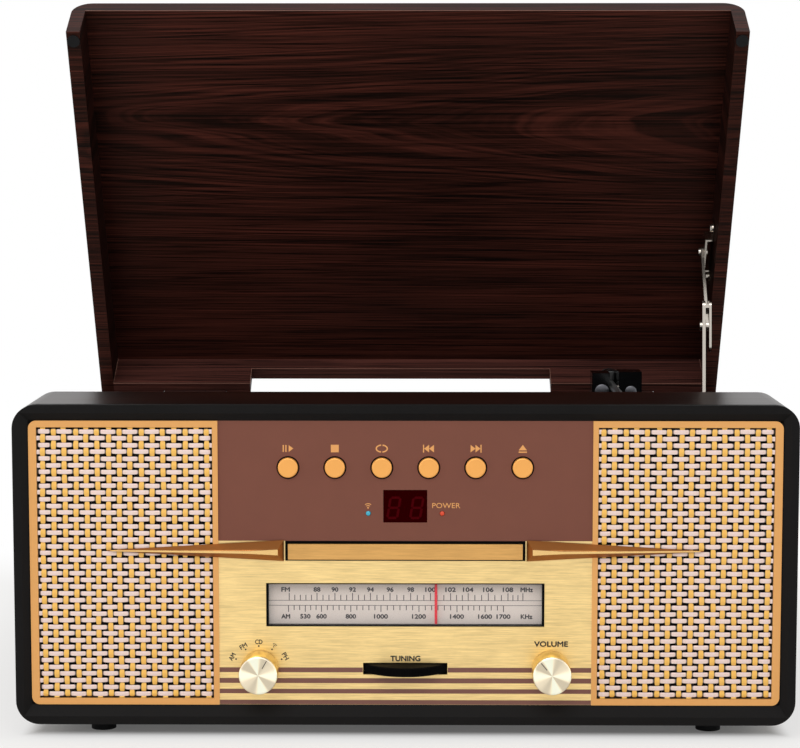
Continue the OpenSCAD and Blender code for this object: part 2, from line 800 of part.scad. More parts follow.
// A flat belt pulled tight round the rim and the pulley: two arcs and two runs,
// the runs a little slighter than the arcs that they end in
module drive_belt() {
    t = 1;
    w = 5;
    thinner = 0.2;
    rim_lap = 1;
    pulley_lap = 5;
    lean = acos((belt_rim_r - pulley_r) / motor_reach);
    span = motor_reach * sin(lean);
    place() color(black) translate([platter_x, platter_y, platter_top - 10])
        rotate([0, 0, 135]) union() {
            rotate([0, 0, lean - rim_lap])
                rotate_extrude(angle = 360 - 2 * (lean - rim_lap))
                translate([belt_rim_r + move_gap, 0]) square([t, w]);
            translate([motor_reach, 0, 0]) rotate([0, 0, -lean - pulley_lap])
                rotate_extrude(angle = 2 * (lean + pulley_lap))
                translate([pulley_r + move_gap, 0]) square([t, w]);
            for (m = [0, 1]) mirror([0, m, 0]) rotate([0, 0, lean])
                translate([belt_rim_r + move_gap + thinner, -span, thinner])
                cube([t - 2 * thinner, span, w - 2 * thinner]);
        }
}

module turntable_motor() {
    z1 = deck_z - deck_t;
    place() color(steel) difference() {
        union() {
            rod_z(motor_x, motor_y, 17, z1 - 32, z1 - 2);
            rod_z(motor_x, motor_y, 24, z1 - 2, z1);
        }
        rod_z(motor_x, motor_y, 1 + run_gap, z1 - 30, z1 + 1);
    }
}

module motor_pulley() {
    place() color([0.80, 0.68, 0.40]) {
        rod_z(motor_x, motor_y, 1, deck_z - deck_t - 28, platter_top - 11);
        rod_z(motor_x, motor_y, pulley_r, platter_top - 11, platter_top - 4.3);
    }
}

module tonearm_base() {
    place() color(black) difference() {
        union() {
            rod_z(arm_x, arm_y, 9, deck_z - 12, deck_z + 2);
            rod_z(arm_x, arm_y, 20, deck_z, deck_z + 6.7);
        }
        rod_z(arm_x, arm_y, 4 + run_gap, deck_z - 13, deck_z + 8);
    }
}

// The arm's turning carrier: two housings with the arm's tail between them
module tonearm_gimbal() {
    slot = arm_tube_r + 0.4;
    place() color(black) difference() {
        union() {
            rod_z(arm_x, arm_y, 4, deck_z - 11, deck_z + 8);
            rod_z(arm_x, arm_y, 19, deck_z + 7, deck_z + 11);
            block(arm_x - 17, arm_x - slot, arm_y - 11, arm_y + 11, deck_z + 10, arm_z + 11.5);
            block(arm_x + slot, arm_x + 21, arm_y - 11, arm_y + 11, deck_z + 10, arm_z + 12.5);
        }
        rod_x(arm_y, arm_z, rivet_r + run_gap, arm_x - 14, arm_x + 18);
    }
}

module tonearm() {
    tip_y = arm_y - arm_len;
    z0 = platter_top + mat_t + 0.3;
    place() color(steel) union() {
        rod_y(arm_x, arm_z, arm_tube_r, tip_y + 30, arm_y + 30);
        rod_x(arm_y, arm_z, rivet_r, arm_x - 13.5, arm_x + 17.5);
        rod_y(arm_x, arm_z, 11, arm_y + 18, arm_y + 38);
        block(arm_x - 8, arm_x + 8, tip_y - 6, tip_y + 34, arm_z - 4, arm_z - 1);
        block(arm_x - 7, arm_x + 7, tip_y - 4, tip_y + 12, z0 + 2.5, arm_z - 4);
        block(arm_x + 7, arm_x + 15, tip_y - 2, tip_y + 2, arm_z - 3, arm_z - 1.5);
        rod_z(arm_x, tip_y, 1, z0, z0 + 3);
    }
}

module arm_rest() {
    y = arm_y - 125;
    seat = arm_z - arm_tube_r - move_gap;
    place() color(black) union() {
        rod_z(arm_x + 6, y, 7, deck_z, deck_z + 2.5);
        rod_z(arm_x + 6, y, 3, deck_z, seat - 2);
        block(arm_x - 5, arm_x + 9, y - 5, y + 5, seat - 3, seat);
        block(arm_x + arm_tube_r + move_gap, arm_x + 9, y - 5, y + 5, seat - 3, arm_z + 5);
    }
}

module speed_lever() {
    place() color(black) translate([lever_x(), lever_y(), 0]) union() {
        rod_z(0, 0, shaft_r, deck_z - deck_t - 3, deck_z + 2);
        rod_z(0, 0, 9, deck_z + move_gap, deck_z + 4);
        block(-3, 3, 0, 24, deck_z + move_gap + 0.2, deck_z + 3.4);
        rod_z(0, 24, 3, deck_z + move_gap + 0.2, deck_z + 7);
    }
}

// Lid, drawn shut and then swung open
module lid_outline() {
    tall = 3 * corner_r;
    intersection() {
        translate([0, rim_z + lid_h - tall]) rounded_rect(body_w, 2 * tall, corner_r);
        translate([-body_w / 2, rim_z]) square([body_w, lid_h]);
    }
}

module lid_shell() {
    lid_place() color(wood) difference() {
        prism_y(block_d + lid_gap, body_d) lid_outline();
        block(-side_x, side_x, block_d, body_d + 1, rim_z - 1, rim_z + lid_in);
    }
}

module lid_rear_rail() {
    lid_place() color(wood) difference() {
        block(-side_x, side_x, body_d - rail_t, body_d, rim_z, rim_z + lid_in);
        block(notch_x - notch_w / 2, notch_x + notch_w / 2, body_d - rail_t - 1, body_d + 1,
            rim_z - 1, rim_z + notch_h);
        hinge_rebates();
    }
}

module lid_bumpers() {
    lid_place() color(black) for (x = [-1, 1])
        rod_z(x * (body_w / 2 - wall / 2), block_d + lid_gap + 7.3, bumper_r,
            rim_z - rim_gap + move_gap, rim_z);
}

// A hinge leaf on the back of the wood: direction 1 is up, -1 is down
module leaf(x, direction) {
    z0 = direction > 0 ? rim_z + barrel_r + 0.6 : rim_z - barrel_r - 18;
    block(x - hinge_len / 2, x + hinge_len / 2, body_d, body_d + 1.2, z0, z0 + 17.4);
}

module knuckle(x, length, direction) {
    rod_x(body_d, rim_z, barrel_r, x - length / 2, x + length / 2);
    block(x - length / 2, x + length / 2, body_d, body_d + 1.2,
        min(rim_z, rim_z + direction * (barrel_r + 1)),
        max(rim_z, rim_z + direction * (barrel_r + 1)));
}

module cabinet_hinge_leaves() {
    end = hinge_len / 3;
    place() color(steel) for (x = [-hinge_x, hinge_x]) union() {
        leaf(x, -1);
        for (s = [-1, 1]) knuckle(x + s * end, end - 0.4, -1);
        rod_x(body_d, rim_z, hinge_pin_r, x - hinge_len / 2, x + hinge_len / 2);
    }
}

module lid_hinge_leaves() {
    lid_place() color(steel) for (x = [-hinge_x, hinge_x]) difference() {
        union() {
            leaf(x, 1);
            knuckle(x, hinge_len / 3 - 0.4, 1);
        }
        rod_x(body_d, rim_z, hinge_pin_r + run_gap, x - hinge_len, x + hinge_len);
    }
}

// Stay
module stay_lid_bracket() {
    y = lid_pivot[0];
    z = lid_pivot[1];
    lid_place() color(steel) difference() {
        union() {
            for (s = [-1, 1]) {
                block(side_x - 1.5, side_x, y + s * 21 - 7, y + s * 21 + 7, z - 6, z + 6);
                block(cheek_x, side_x, y + s * 14 - 0.75, y + s * 14 + 0.75, z - 6, z + 6);
                rod_x(y + s * 22, z, 3.2, side_x - 3.4, side_x - 1);
            }
            block(cheek_x, cheek_x + 1.5, y - 14, y + 14, z - 6, z + 6);
        }
        rod_x(y, z, rivet_r + run_gap, cheek_x - 1, side_x - 2);
    }
}

module stay_upper_arm() {
    x1 = upper_arm_x + upper_arm_t;
    place() color(steel) difference() {
        union() {
            bar_x(stay_top, stay_elbow, stay_w, upper_arm_x, x1);
            rod_x(stay_top[0], stay_top[1], rivet_r, upper_arm_x, cheek_x + 3);
            rod_x(stay_top[0], stay_top[1], 3.4, upper_arm_x - 1.5, upper_arm_x);
        }
        rod_x(stay_elbow[0], stay_elbow[1], rivet_r + run_gap, upper_arm_x - 1, x1 + 1);
    }
}

module stay_lower_arm() {
    along = (stay_foot - stay_elbow) / lower_arm_len;
    head = stay_elbow - 15 * along;
    place() color(steel) union() {
        bar_x(head, stay_foot, stay_w, lower_arm_x, lower_arm_x + 2.4);
        bar_x(head, stay_elbow + 16 * along, stay_w, cheek_x, cheek_x + 1.7);
        translate([lower_arm_x, head[0], head[1]])
            rotate([lower_arm_angle, 0, 0]) translate([0.2, -1.5, -stay_w / 2 + 1.5])
            cube([cheek_x + 1.3 - lower_arm_x, 3, stay_w - 3]);
        rod_x(stay_elbow[0], stay_elbow[1], rivet_r, lower_arm_x, cheek_x + 1);
        rod_x(stay_elbow[0], stay_elbow[1], 3.6, lower_arm_x - 1.8, lower_arm_x);
    }
}

module stay_base_bracket() {
    y = stay_foot[0];
    z = stay_foot[1];
    place() color(steel) union() {
        block(side_x - 1.5, side_x, y - 14, y + 14, z - 22, z + 2);
        rod_x(y, z - 4, 5, lower_arm_x + 2.4 + move_gap + 1, side_x - 1);
    }
}

cabinet_shell();
rear_panel();
front_bezel();
front_baffle();
upper_fascia();
lower_fascia();
left_grille_frame();
right_grille_frame();
grille_cloths();
speakers();
trim_spears();
drawer_surround();
display_window();
indicator_lamps();
dial_frame();
dial_plate();
dial_lens();
control_board();
panel_controls();
tuning_capacitor();
cd_mechanism();
main_board();
power_transformer();
deck_plate();
turntable_motor();
platter_bearing();
drive_belt();
tonearm_base();
arm_rest();
rear_sockets();
feet();
case_screws();
cabinet_hinge_leaves();
stay_base_bracket();
lid_shell();
lid_rear_rail();
lid_bumpers();
lid_hinge_leaves();
stay_lid_bracket();
stay_upper_arm();
stay_lower_arm();
play_pause_button();
stop_button();
repeat_button();
skip_back_button();
skip_forward_button();
eject_button();
selector_knob();
volume_knob();
tuning_wheel();
dial_pointer();
cd_tray();
drawer_front();
cd_spindle();
platter();
slip_mat();
motor_pulley();
tonearm_gimbal();
tonearm();
speed_lever();
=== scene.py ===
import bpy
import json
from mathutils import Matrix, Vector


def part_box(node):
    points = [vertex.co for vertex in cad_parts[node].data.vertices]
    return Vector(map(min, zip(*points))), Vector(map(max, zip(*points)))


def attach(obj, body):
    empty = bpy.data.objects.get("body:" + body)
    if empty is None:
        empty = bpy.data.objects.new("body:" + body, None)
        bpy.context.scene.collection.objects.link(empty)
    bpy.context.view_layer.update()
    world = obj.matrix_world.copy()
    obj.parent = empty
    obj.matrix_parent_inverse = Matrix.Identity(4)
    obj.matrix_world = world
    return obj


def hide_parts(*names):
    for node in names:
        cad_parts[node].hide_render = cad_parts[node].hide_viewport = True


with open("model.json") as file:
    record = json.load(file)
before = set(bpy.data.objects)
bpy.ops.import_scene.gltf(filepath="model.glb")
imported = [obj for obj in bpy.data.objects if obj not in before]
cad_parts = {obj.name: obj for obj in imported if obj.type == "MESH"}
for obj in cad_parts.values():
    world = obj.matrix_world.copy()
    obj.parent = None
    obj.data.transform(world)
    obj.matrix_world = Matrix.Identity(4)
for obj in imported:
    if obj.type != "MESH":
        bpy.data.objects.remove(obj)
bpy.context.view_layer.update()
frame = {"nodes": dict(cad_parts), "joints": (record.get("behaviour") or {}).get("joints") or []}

# %% [markdown]
# ## Working in millimetres from the front of the cabinet
# Blender works in metres. Furniture is easier to read in millimetres, so every measure below
# is taken from the middle of the cabinet, its front face and the floor, and `at` turns it into
# the frame's own place.
# %% Places
import json
import math
import random

import bmesh
import bpy
from mathutils import Matrix, Vector

MM = 0.001
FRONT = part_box("front_bezel")[0].y
FASCIA = 4.0  # how far the fascia lies behind the front face


def at(x, y, z):
    return Vector((x * MM, FRONT + y * MM, z * MM))


def mm(point):
    return Vector((point.x / MM, (point.y - FRONT) / MM, point.z / MM))


def span(*nodes):
    """The corners of one or several construction nodes, in millimetres."""
    boxes = [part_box(n) for n in nodes]
    low = Vector([min(b[0][i] for b in boxes) for i in range(3)])
    high = Vector([max(b[1][i] for b in boxes) for i in range(3)])
    return mm(low), mm(high)


print("cabinet front at y", round(FRONT, 4), "m; body", span("cabinet_shell"))

# %% [markdown]
# ## From points to pieces
# A mesh is a list of points and a list of faces. Every shape below is such a pair until
# `from_faces` makes it an object that rides on a body. Round parts are a profile turned about
# an axis, flat ones are an outline with a thickness, and wires are a tube along a path.
# %% Pieces
def add_piece(name, mesh, material, body, smooth_angle=35):
    piece = bpy.data.objects.new(name, mesh)
    bpy.context.scene.collection.objects.link(piece)
    mesh.materials.clear()
    mesh.materials.append(material)
    mesh.shade_smooth()
    mesh.set_sharp_from_angle(angle=math.radians(smooth_angle))
    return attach(piece, body)


def from_faces(name, points, faces, material, body, smooth_angle=35):
    mesh = bpy.data.meshes.new(name)
    mesh.from_pydata([at(*p) for p in points], [], faces)
    grown = bmesh.new()
    grown.from_mesh(mesh)
    bmesh.ops.recalc_face_normals(grown, faces=grown.faces)
    grown.to_mesh(mesh)
    grown.free()
    return add_piece(name, mesh, material, body, smooth_angle)


def join_parts(parts):
    """One list of points and faces out of several."""
    points, faces = [], []
    for part_points, part_faces in parts:
        start = len(points)
        points += part_points
        faces += [[start + i for i in face] for face in part_faces]
    return points, faces


# %% Turned shapes
def spot(centre, axis, u, v, h):
    x, y, z = centre
    return {"x": (x + h, y + u, z + v), "y": (x + u, y + h, z + v),
            "z": (x + u, y + v, z + h)}[axis]


def turned_mesh(profile, centre, axis, steps=72, closed=False):
    """Points and faces of a profile of (radius, height) turned about an axis."""
    points, faces, rings = [], [], []
    for r, h in profile:
        around = steps if r > 1e-6 else 1
        rings.append([len(points) + i for i in range(around)])
        for i in range(around):
            a = math.tau * i / steps
            points.append(spot(centre, axis, r * math.cos(a), r * math.sin(a), h))
    pairs = list(zip(rings, rings[1:])) + ([(rings[-1], rings[0])] if closed else [])
    for a, b in pairs:
        for i in range(steps):
            j = (i + 1) % steps
            corners = [a[i % len(a)], b[i % len(b)], b[j % len(b)], a[j % len(a)]]
            kept = [c for k, c in enumerate(corners) if c not in corners[:k]]
            if len(kept) > 2:
                faces.append(kept)
    return points, faces


def turned(name, profile, centre, axis, material, body, steps=72, closed=False, smooth=35):
    points, faces = turned_mesh(profile, centre, axis, steps, closed)
    return from_faces(name, points, faces, material, body, smooth)


# %% Slabs and tubes
def ring_faces(rings, n):
    """The faces between rings of n points each, which follow one another."""
    return [[r * n + i, r * n + (i + 1) % n, (r + 1) * n + (i + 1) % n, (r + 1) * n + i]
            for r in range(rings - 1) for i in range(n)]


def end_faces(rings, n):
    """The two faces that close the first and the last ring."""
    return [list(range(n)), [(rings - 1) * n + i for i in reversed(range(n))]]


def slab_mesh(outline, y0, y1):
    """A flat outline of (x, z), from y0 in front back to y1."""
    n = len(outline)
    points = [(x, y0, z) for x, z in outline] + [(x, y1, z) for x, z in outline]
    return points, end_faces(2, n) + ring_faces(2, n)


def tube_mesh(path, radii, sides=14):
    """A round tube along a list of points, with a radius at each."""
    path = [Vector(p) for p in path]
    points, side = [], None
    for i, p in enumerate(path):
        ahead = (path[min(i + 1, len(path) - 1)] - path[max(i - 1, 0)]).normalized()
        if side is None:
            side = ahead.orthogonal().normalized()
        side = (side - ahead * side.dot(ahead)).normalized()
        other = ahead.cross(side)
        for k in range(sides):
            a = math.tau * k / sides
            points.append(p + (side * math.cos(a) + other * math.sin(a)) * radii[i])
    return points, ring_faces(len(path), sides) + end_faces(len(path), sides)


print("a ring of 8 steps has", len(turned_mesh([(1, 0), (2, 0)], (0, 0, 0), "z", 8)[0]), "points")

# %% [markdown]
# ## Shader groups that several finishes share
# Paint, moulded plastic, rubber and cast metal all have a fine grain, only at other scales.
# One node group makes such a grain from its inputs, and each material sets its own numbers.
# A group gives out only colour, roughness and height, and the shader stays in the material.
# %% Colours and nodes
def rgb(r, g, b):
    """A colour written in the usual 0 to 255 steps, as the light values shaders use."""
    def light(c):
        c /= 255
        return c / 12.92 if c <= 0.04045 else ((c + 0.055) / 1.055) ** 2.4
    return (light(r), light(g), light(b), 1)


def put(tree, kind, inputs=None, **settings):
    made = tree.nodes.new(kind)
    for key, value in settings.items():
        setattr(made, key, value)
    for key, value in (inputs or {}).items():
        if isinstance(value, bpy.types.NodeSocket):
            tree.links.new(value, made.inputs[key])
        else:
            made.inputs[key].default_value = value
    return made


def calc(tree, operation, a, b=0.0, c=0.0, clamp=False):
    return put(tree, "ShaderNodeMath", {0: a, 1: b, 2: c}, operation=operation,
               use_clamp=clamp).outputs[0]


def stretch(tree, vector, scale):
    return put(tree, "ShaderNodeVectorMath", {0: vector, 1: scale},
               operation="MULTIPLY").outputs[0]


def noise(tree, vector, scale, detail=3.0, rough=0.55):
    return put(tree, "ShaderNodeTexNoise", {"Vector": vector, "Scale": scale,
               "Detail": detail, "Roughness": rough}).outputs["Fac"]


def shaded(tree, colour, factor):
    """A colour made lighter or darker by a factor."""
    return put(tree, "ShaderNodeVectorMath", {0: colour, "Scale": factor},
               operation="SCALE").outputs[0]


def varied(tree, value, spread, base, middle=0.5):
    """A base, plus what a value is above or below its middle, times a spread."""
    return calc(tree, "MULTIPLY_ADD", calc(tree, "SUBTRACT", value, middle), spread, base)


def split(tree, vector):
    return put(tree, "ShaderNodeSeparateXYZ", {0: vector}).outputs


def mixed(tree, factor, a, b):
    return put(tree, "ShaderNodeMix", {0: factor, 6: a, 7: b}, data_type="RGBA").outputs[2]


def window(tree, value, low, high, to_low=0.0, to_high=1.0):
    return put(tree, "ShaderNodeMapRange", {0: value, 1: low, 2: high, 3: to_low,
               4: to_high}, interpolation_type="SMOOTHSTEP").outputs[0]


# %% Opening and closing a group
KINDS = {"v": "NodeSocketVector", "c": "NodeSocketColor", "f": "NodeSocketFloat"}


def new_group(name, **inputs):
    """A shader group with the given inputs, and Color, Roughness and Height out."""
    group = bpy.data.node_groups.new(name, "ShaderNodeTree")
    for label, (kind, value) in inputs.items():
        made = group.interface.new_socket(label, in_out="INPUT", socket_type=KINDS[kind])
        made.default_value = value
    for label, kind in (("Color", "c"), ("Roughness", "f"), ("Height", "f")):
        group.interface.new_socket(label, in_out="OUTPUT", socket_type=KINDS[kind])
    start = group.nodes.new("NodeGroupInput")
    return group, start.outputs, group.nodes.new("NodeGroupOutput")


def end_group(group, given, end, colour, uneven, height):
    """Close a group, with a roughness that follows an uneven value."""
    roughness = varied(group, uneven, given["Spread"], given["Gloss"])
    for label, value in (("Color", colour), ("Roughness", roughness), ("Height", height)):
        group.links.new(value, end.inputs[label])
    print("shader group", group.name, "with", len(group.nodes), "nodes")
    return group


# %% Fine grain: paint, moulded plastic, rubber and plated metal
def make_grain():
    g, given, end = new_group("fine_grain", Vector=("v", (0, 0, 0)),
                              Tint=("c", (0.5, 0.5, 0.5, 1)), Depth=("f", 0.1),
                              Scale=("f", 1500), Gloss=("f", 0.4), Spread=("f", 0.1))
    small = noise(g, given["Vector"], given["Scale"], 3)
    broad = noise(g, given["Vector"], calc(g, "MULTIPLY", given["Scale"], 0.03), 2)
    both = calc(g, "ADD", calc(g, "MULTIPLY", small, 0.6), calc(g, "MULTIPLY", broad, 0.8))
    shade = varied(g, both, given["Depth"], 1.0, 0.7)
    return end_group(g, given, end, shaded(g, given["Tint"], shade), broad, small)


FINE_GRAIN = make_grain()

# %% [markdown]
# Brushed metal has scratches that all run one way. A noise that is squeezed hard across the
# brushing and hardly along it gives them, for the colour, the gloss and the relief alike.
# %% Brushed lines
def make_brushed():
    g, given, end = new_group("brushed_lines", Vector=("v", (0, 0, 0)),
                              Tint=("c", (0.8, 0.7, 0.5, 1)), Depth=("f", 0.1),
                              Scale=("f", 3000), Gloss=("f", 0.3), Spread=("f", 0.1))
    along = stretch(g, given["Vector"], (0.045, 1, 1))
    fine = noise(g, along, given["Scale"], 3, 0.7)
    wide = noise(g, along, calc(g, "MULTIPLY", given["Scale"], 0.42), 3, 0.7)
    patch = noise(g, stretch(g, given["Vector"], (30, 60, 60)), 1.0, 2)
    both = calc(g, "MULTIPLY_ADD", fine, 0.4, calc(g, "MULTIPLY_ADD", patch, 0.4, wide))
    shade = varied(g, both, given["Depth"], 1.0, 0.9)
    return end_group(g, given, end, shaded(g, given["Tint"], shade), fine, fine)


BRUSHED = make_brushed()

# %% [markdown]
# A turned or spun face has rings round its centre. The distance from the axis, fed into a
# one-dimensional noise, gives rings of uneven width. Cosines of the angle paint the face
# lighter and darker in sectors: painted highlights, like those a spun face shows in light. The
# axis is along Y in this group's space, and a mapping in the material brings each piece's axis
# there.
# %% Turned rings
def make_rings():
    g, given, end = new_group("turned_rings", Vector=("v", (0, 0, 0)),
                              Tint=("c", (0.8, 0.8, 0.8, 1)), Depth=("f", 0.1),
                              Scale=("f", 4000), Gloss=("f", 0.3), Spread=("f", 0.1),
                              Sectors=("f", 0.0))
    flat = stretch(g, given["Vector"], (1, 0, 1))
    p = split(g, flat)
    angle = calc(g, "ARCTAN2", p[0], p[2])
    # Bright and dark wedges from cosines of the angle, painted into the colour: painted
    # highlights.
    four = calc(g, "COSINE", calc(g, "MULTIPLY_ADD", angle, 4.0, 0.6))
    six = calc(g, "COSINE", calc(g, "MULTIPLY_ADD", angle, 6.0, 2.0))
    painted_sector = window(g, calc(g, "MULTIPLY_ADD", six, 0.6, four), -0.9, 0.9, -1, 1)
    reach = put(g, "ShaderNodeVectorMath", {0: flat}, operation="LENGTH").outputs["Value"]
    lines = put(g, "ShaderNodeTexNoise", {"W": calc(g, "MULTIPLY", reach, given["Scale"]),
                "Scale": 1.0, "Detail": 2.0}, noise_dimensions="1D").outputs["Fac"]
    shade = varied(g, lines, given["Depth"], 1.0)
    shade = calc(g, "MULTIPLY_ADD", painted_sector, given["Sectors"], shade)
    return end_group(g, given, end, shaded(g, given["Tint"], shade), lines, lines)


RINGS = make_rings()

# %% [markdown]
# The cabinet is covered with a printed walnut film. A flat-sawn board shows its year rings as
# long arches: the level lines of (distance across the board) squared minus distance along it.
# Bands of uneven width follow that value, and thin dark pores run along the board. The film
# wraps round the edges, so the group picks other axes on the fronts and on the ends, where
# the grain runs up. The inner faces of the ends are painted darker, as painted shade.
# %% Wood grain
def make_wood():
    g, given, end = new_group("walnut_film", Vector=("v", (0, 0, 0)),
                              Normal=("v", (0, 0, 1)), Dark=("c", (0.01, 0.005, 0.004, 1)),
                              Light=("c", (0.05, 0.02, 0.015, 1)), Figure=("f", 0.0),
                              Ends=("f", 1.0), Gloss=("f", 0.3), Spread=("f", 0.1))
    parts, facing = split(g, given["Vector"]), split(g, given["Normal"])
    on_end = calc(g, "GREATER_THAN", calc(g, "ABSOLUTE", facing[0]), 0.7)
    on_front = calc(g, "GREATER_THAN", calc(g, "ABSOLUTE", facing[1]), 0.7)
    film = given["Vector"]
    for mask, (a, b, c) in ((on_front, (0, 2, 1)), (on_end, (2, 1, 0))):
        turned_up = put(g, "ShaderNodeCombineXYZ", {0: parts[a], 1: parts[b], 2: parts[c]})
        film = put(g, "ShaderNodeMix", {0: mask, 4: film, 5: turned_up.outputs[0]},
                   data_type="VECTOR").outputs[1]
    # Faces that look inward across the piece are painted darker: painted shade.
    inward = calc(g, "MULTIPLY", calc(g, "MULTIPLY", facing[0], parts[0]), -1.0)
    inside_painted_shade = window(g, inward, 0.05, 0.15, 1.0, 0.4)
    p = split(g, film)
    warp = noise(g, stretch(g, film, (3.0, 22, 22)), 1.0, 2, 0.5)
    across = calc(g, "SUBTRACT", p[1], given["Figure"])
    bowl = calc(g, "MULTIPLY", calc(g, "MULTIPLY", across, across), 1500.0)
    level = calc(g, "ADD", bowl, calc(g, "MULTIPLY", p[0], -8.0))
    level = calc(g, "ADD", level, calc(g, "MULTIPLY", warp, 2.6))
    ring = put(g, "ShaderNodeTexNoise", {"W": level, "Scale": 2.2, "Detail": 3.0,
               "Roughness": 0.65}, noise_dimensions="1D").outputs["Fac"]
    bands = window(g, ring, 0.4, 0.66)
    streak = noise(g, stretch(g, film, (9, 620, 620)), 1.0, 4, 0.7)
    medium = noise(g, stretch(g, film, (1.4, 80, 80)), 1.0, 3, 0.6)
    body = calc(g, "MULTIPLY", bands, window(g, medium, 0.3, 0.65, 0.35, 1.0))
    cast = window(g, noise(g, stretch(g, film, (5, 9, 9)), 1.0, 1), 0.35, 0.65, 0.7, 1.25)
    straight = window(g, noise(g, stretch(g, film, (1.8, 190, 190)), 1.0, 4, 0.65), 0.36, 0.62)
    body = calc(g, "MULTIPLY_ADD", body, 0.7, calc(g, "MULTIPLY", straight, 0.3))
    tone = calc(g, "ADD", calc(g, "MULTIPLY", body, cast),
                calc(g, "MULTIPLY", calc(g, "SUBTRACT", streak, 0.5), 1.8), clamp=True)
    pores = calc(g, "MULTIPLY", window(g, streak, 0.34, 0.48, 0.3, 1.0), inside_painted_shade)
    # Faces that look sideways are painted lighter by this factor: painted light.
    ends_painted_light = calc(g, "MULTIPLY_ADD", on_end, calc(g, "SUBTRACT", given["Ends"], 1.0), 1.0)
    pores = calc(g, "MULTIPLY", pores, ends_painted_light)
    colour = shaded(g, mixed(g, tone, given["Dark"], given["Light"]), pores)
    return end_group(g, given, end, colour, streak, streak)


WOOD = make_wood()

# %% [markdown]
# Felt, scrim and the tapes' own threads are a plain weave when seen close: two sets of rounded
# ridges at right angles, the one over the other in turns. A tape that dips between its
# neighbours gets no light there, so its colour goes from bright to hidden with its depth.
# %% Plain weave
def make_weave():
    g, given, end = new_group("plain_weave", Vector=("v", (0, 0, 0)),
                              Tint=("c", (0.1, 0.1, 0.1, 1)), Depth=("f", 0.4),
                              Scale=("f", 1500), Gloss=("f", 0.8), Spread=("f", 0.1),
                              Bright=("f", 5.0), Hidden=("f", 6.0))
    p = split(g, given["Vector"])
    turn = calc(g, "MULTIPLY", given["Scale"], math.pi)
    first, second, third = [calc(g, "SINE", calc(g, "MULTIPLY", p[k], turn)) for k in (0, 2, 1)]
    lift = calc(g, "MULTIPLY", calc(g, "MULTIPLY", first, calc(g, "ADD", second, third)), 0.5)
    fuzz = noise(g, given["Vector"], calc(g, "MULTIPLY", given["Scale"], 2.0), 2)
    height = calc(g, "ADD", calc(g, "MULTIPLY", lift, 0.3), fuzz)
    dip = window(g, p[1], given["Bright"], given["Hidden"], 1.0, 0.04)
    shade = calc(g, "MULTIPLY", varied(g, height, given["Depth"], 1.0), dip)
    return end_group(g, given, end, shaded(g, given["Tint"], shade), fuzz, height)


WEAVE = make_weave()

# %% [markdown]
# ## The finishes
# `finish` places a group in a new material, with its own colour, scale and relief. Metals set
# Metallic on the shader, clear coats set Coat Weight, and so on, each on the shader's own
# socket. The figures are in metres: a relief of 0.00002 is a fiftieth of a millimetre.
# %% One function for every finish
def finish(name, group, colour=None, relief=0.0, turn=None, shift=None, shader=None, **values):
    material = bpy.data.materials.new(name)
    material.use_nodes = True
    tree = material.node_tree
    tree.nodes.clear()
    end = put(tree, "ShaderNodeOutputMaterial")
    surface = put(tree, "ShaderNodeBsdfPrincipled", shader or {})
    place = put(tree, "ShaderNodeTexCoord")
    mapped = put(tree, "ShaderNodeMapping", {"Vector": place.outputs["Object"]})
    mapped.inputs["Rotation"].default_value = turn or (0, 0, 0)
    mapped.inputs["Location"].default_value = shift or (0, 0, 0)
    effect = put(tree, "ShaderNodeGroup", node_tree=group)
    tree.links.new(mapped.outputs[0], effect.inputs["Vector"])
    if colour:
        effect.inputs["Tint"].default_value = colour
    for key, value in values.items():
        effect.inputs[key].default_value = value
    if "Normal" in effect.inputs:
        facing = put(tree, "ShaderNodeMapping", {"Vector": place.outputs["Normal"]},
                     vector_type="VECTOR")
        facing.inputs["Rotation"].default_value = turn or (0, 0, 0)
        tree.links.new(facing.outputs[0], effect.inputs["Normal"])
    tree.links.new(effect.outputs["Color"], surface.inputs["Base Color"])
    tree.links.new(effect.outputs["Roughness"], surface.inputs["Roughness"])
    if relief:
        bump = put(tree, "ShaderNodeBump", {"Height": effect.outputs["Height"],
                   "Distance": relief})
        tree.links.new(bump.outputs[0], surface.inputs["Normal"])
    tree.links.new(surface.outputs[0], end.inputs[0])
    return material


METAL, DULL = {"Metallic": 1.0}, {"Specular IOR Level": 0.12}
print("finishes are made of", [group.name for group in (FINE_GRAIN, BRUSHED, RINGS, WOOD, WEAVE)])

# %% [markdown]
# The wood of the lid was laid on when it was shut, so its grain follows the shut lid: the
# hinge's own turn, from the frame, brings the open lid's points back to there. Black parts
# differ by their gloss and grain more than by their colour.
# %% Wood, board and plastic
lid_joint = next(j for j in frame["joints"] if j["name"] == "lid_hinge")
hinge = Vector(lid_joint["pos_m"])
shut = Matrix.Rotation(math.radians(lid_joint["range_deg"][1]), 3, "X")
lid_film = {"turn": tuple(shut.to_euler()), "shift": tuple(hinge - shut @ hinge)}
WALNUT = {"Dark": rgb(15, 6, 4), "Light": rgb(76, 36, 28), "Gloss": 0.52, "Spread": 0.12}
lid_wood = finish("lid_walnut_film", WOOD, relief=0.00002, Figure=at(0, 178, 0).y,
                  shader={"Specular IOR Level": 0.12, "Specular Tint": rgb(255, 218, 202)},
                  **lid_film, **WALNUT)
rail_wood = finish("rail_walnut_film", WOOD, relief=0.00002, Figure=at(0, 0, 600).z,
                   shader={"Specular IOR Level": 0.2}, **lid_film,
                   **{**WALNUT, "Dark": rgb(40, 18, 15), "Light": rgb(108, 61, 52)})
# The cabinet's sides are painted lighter than its top and front, as painted light.
cabinet_wood = finish("cabinet_walnut_film", WOOD, relief=0.000008, Figure=at(0, 250, 0).y,
                      shader={"Specular IOR Level": 0.12, "Specular Tint": rgb(255, 212, 190)},
                      **{**WALNUT, "Gloss": 0.3, "Dark": rgb(6, 2, 1), "Light": rgb(42, 19, 14),
                         "Ends": 2.6})
black_board = finish("black_board", FINE_GRAIN, rgb(30, 29, 29), 0.00005, Depth=0.5,
                     Scale=900, Gloss=0.75, shader=DULL)
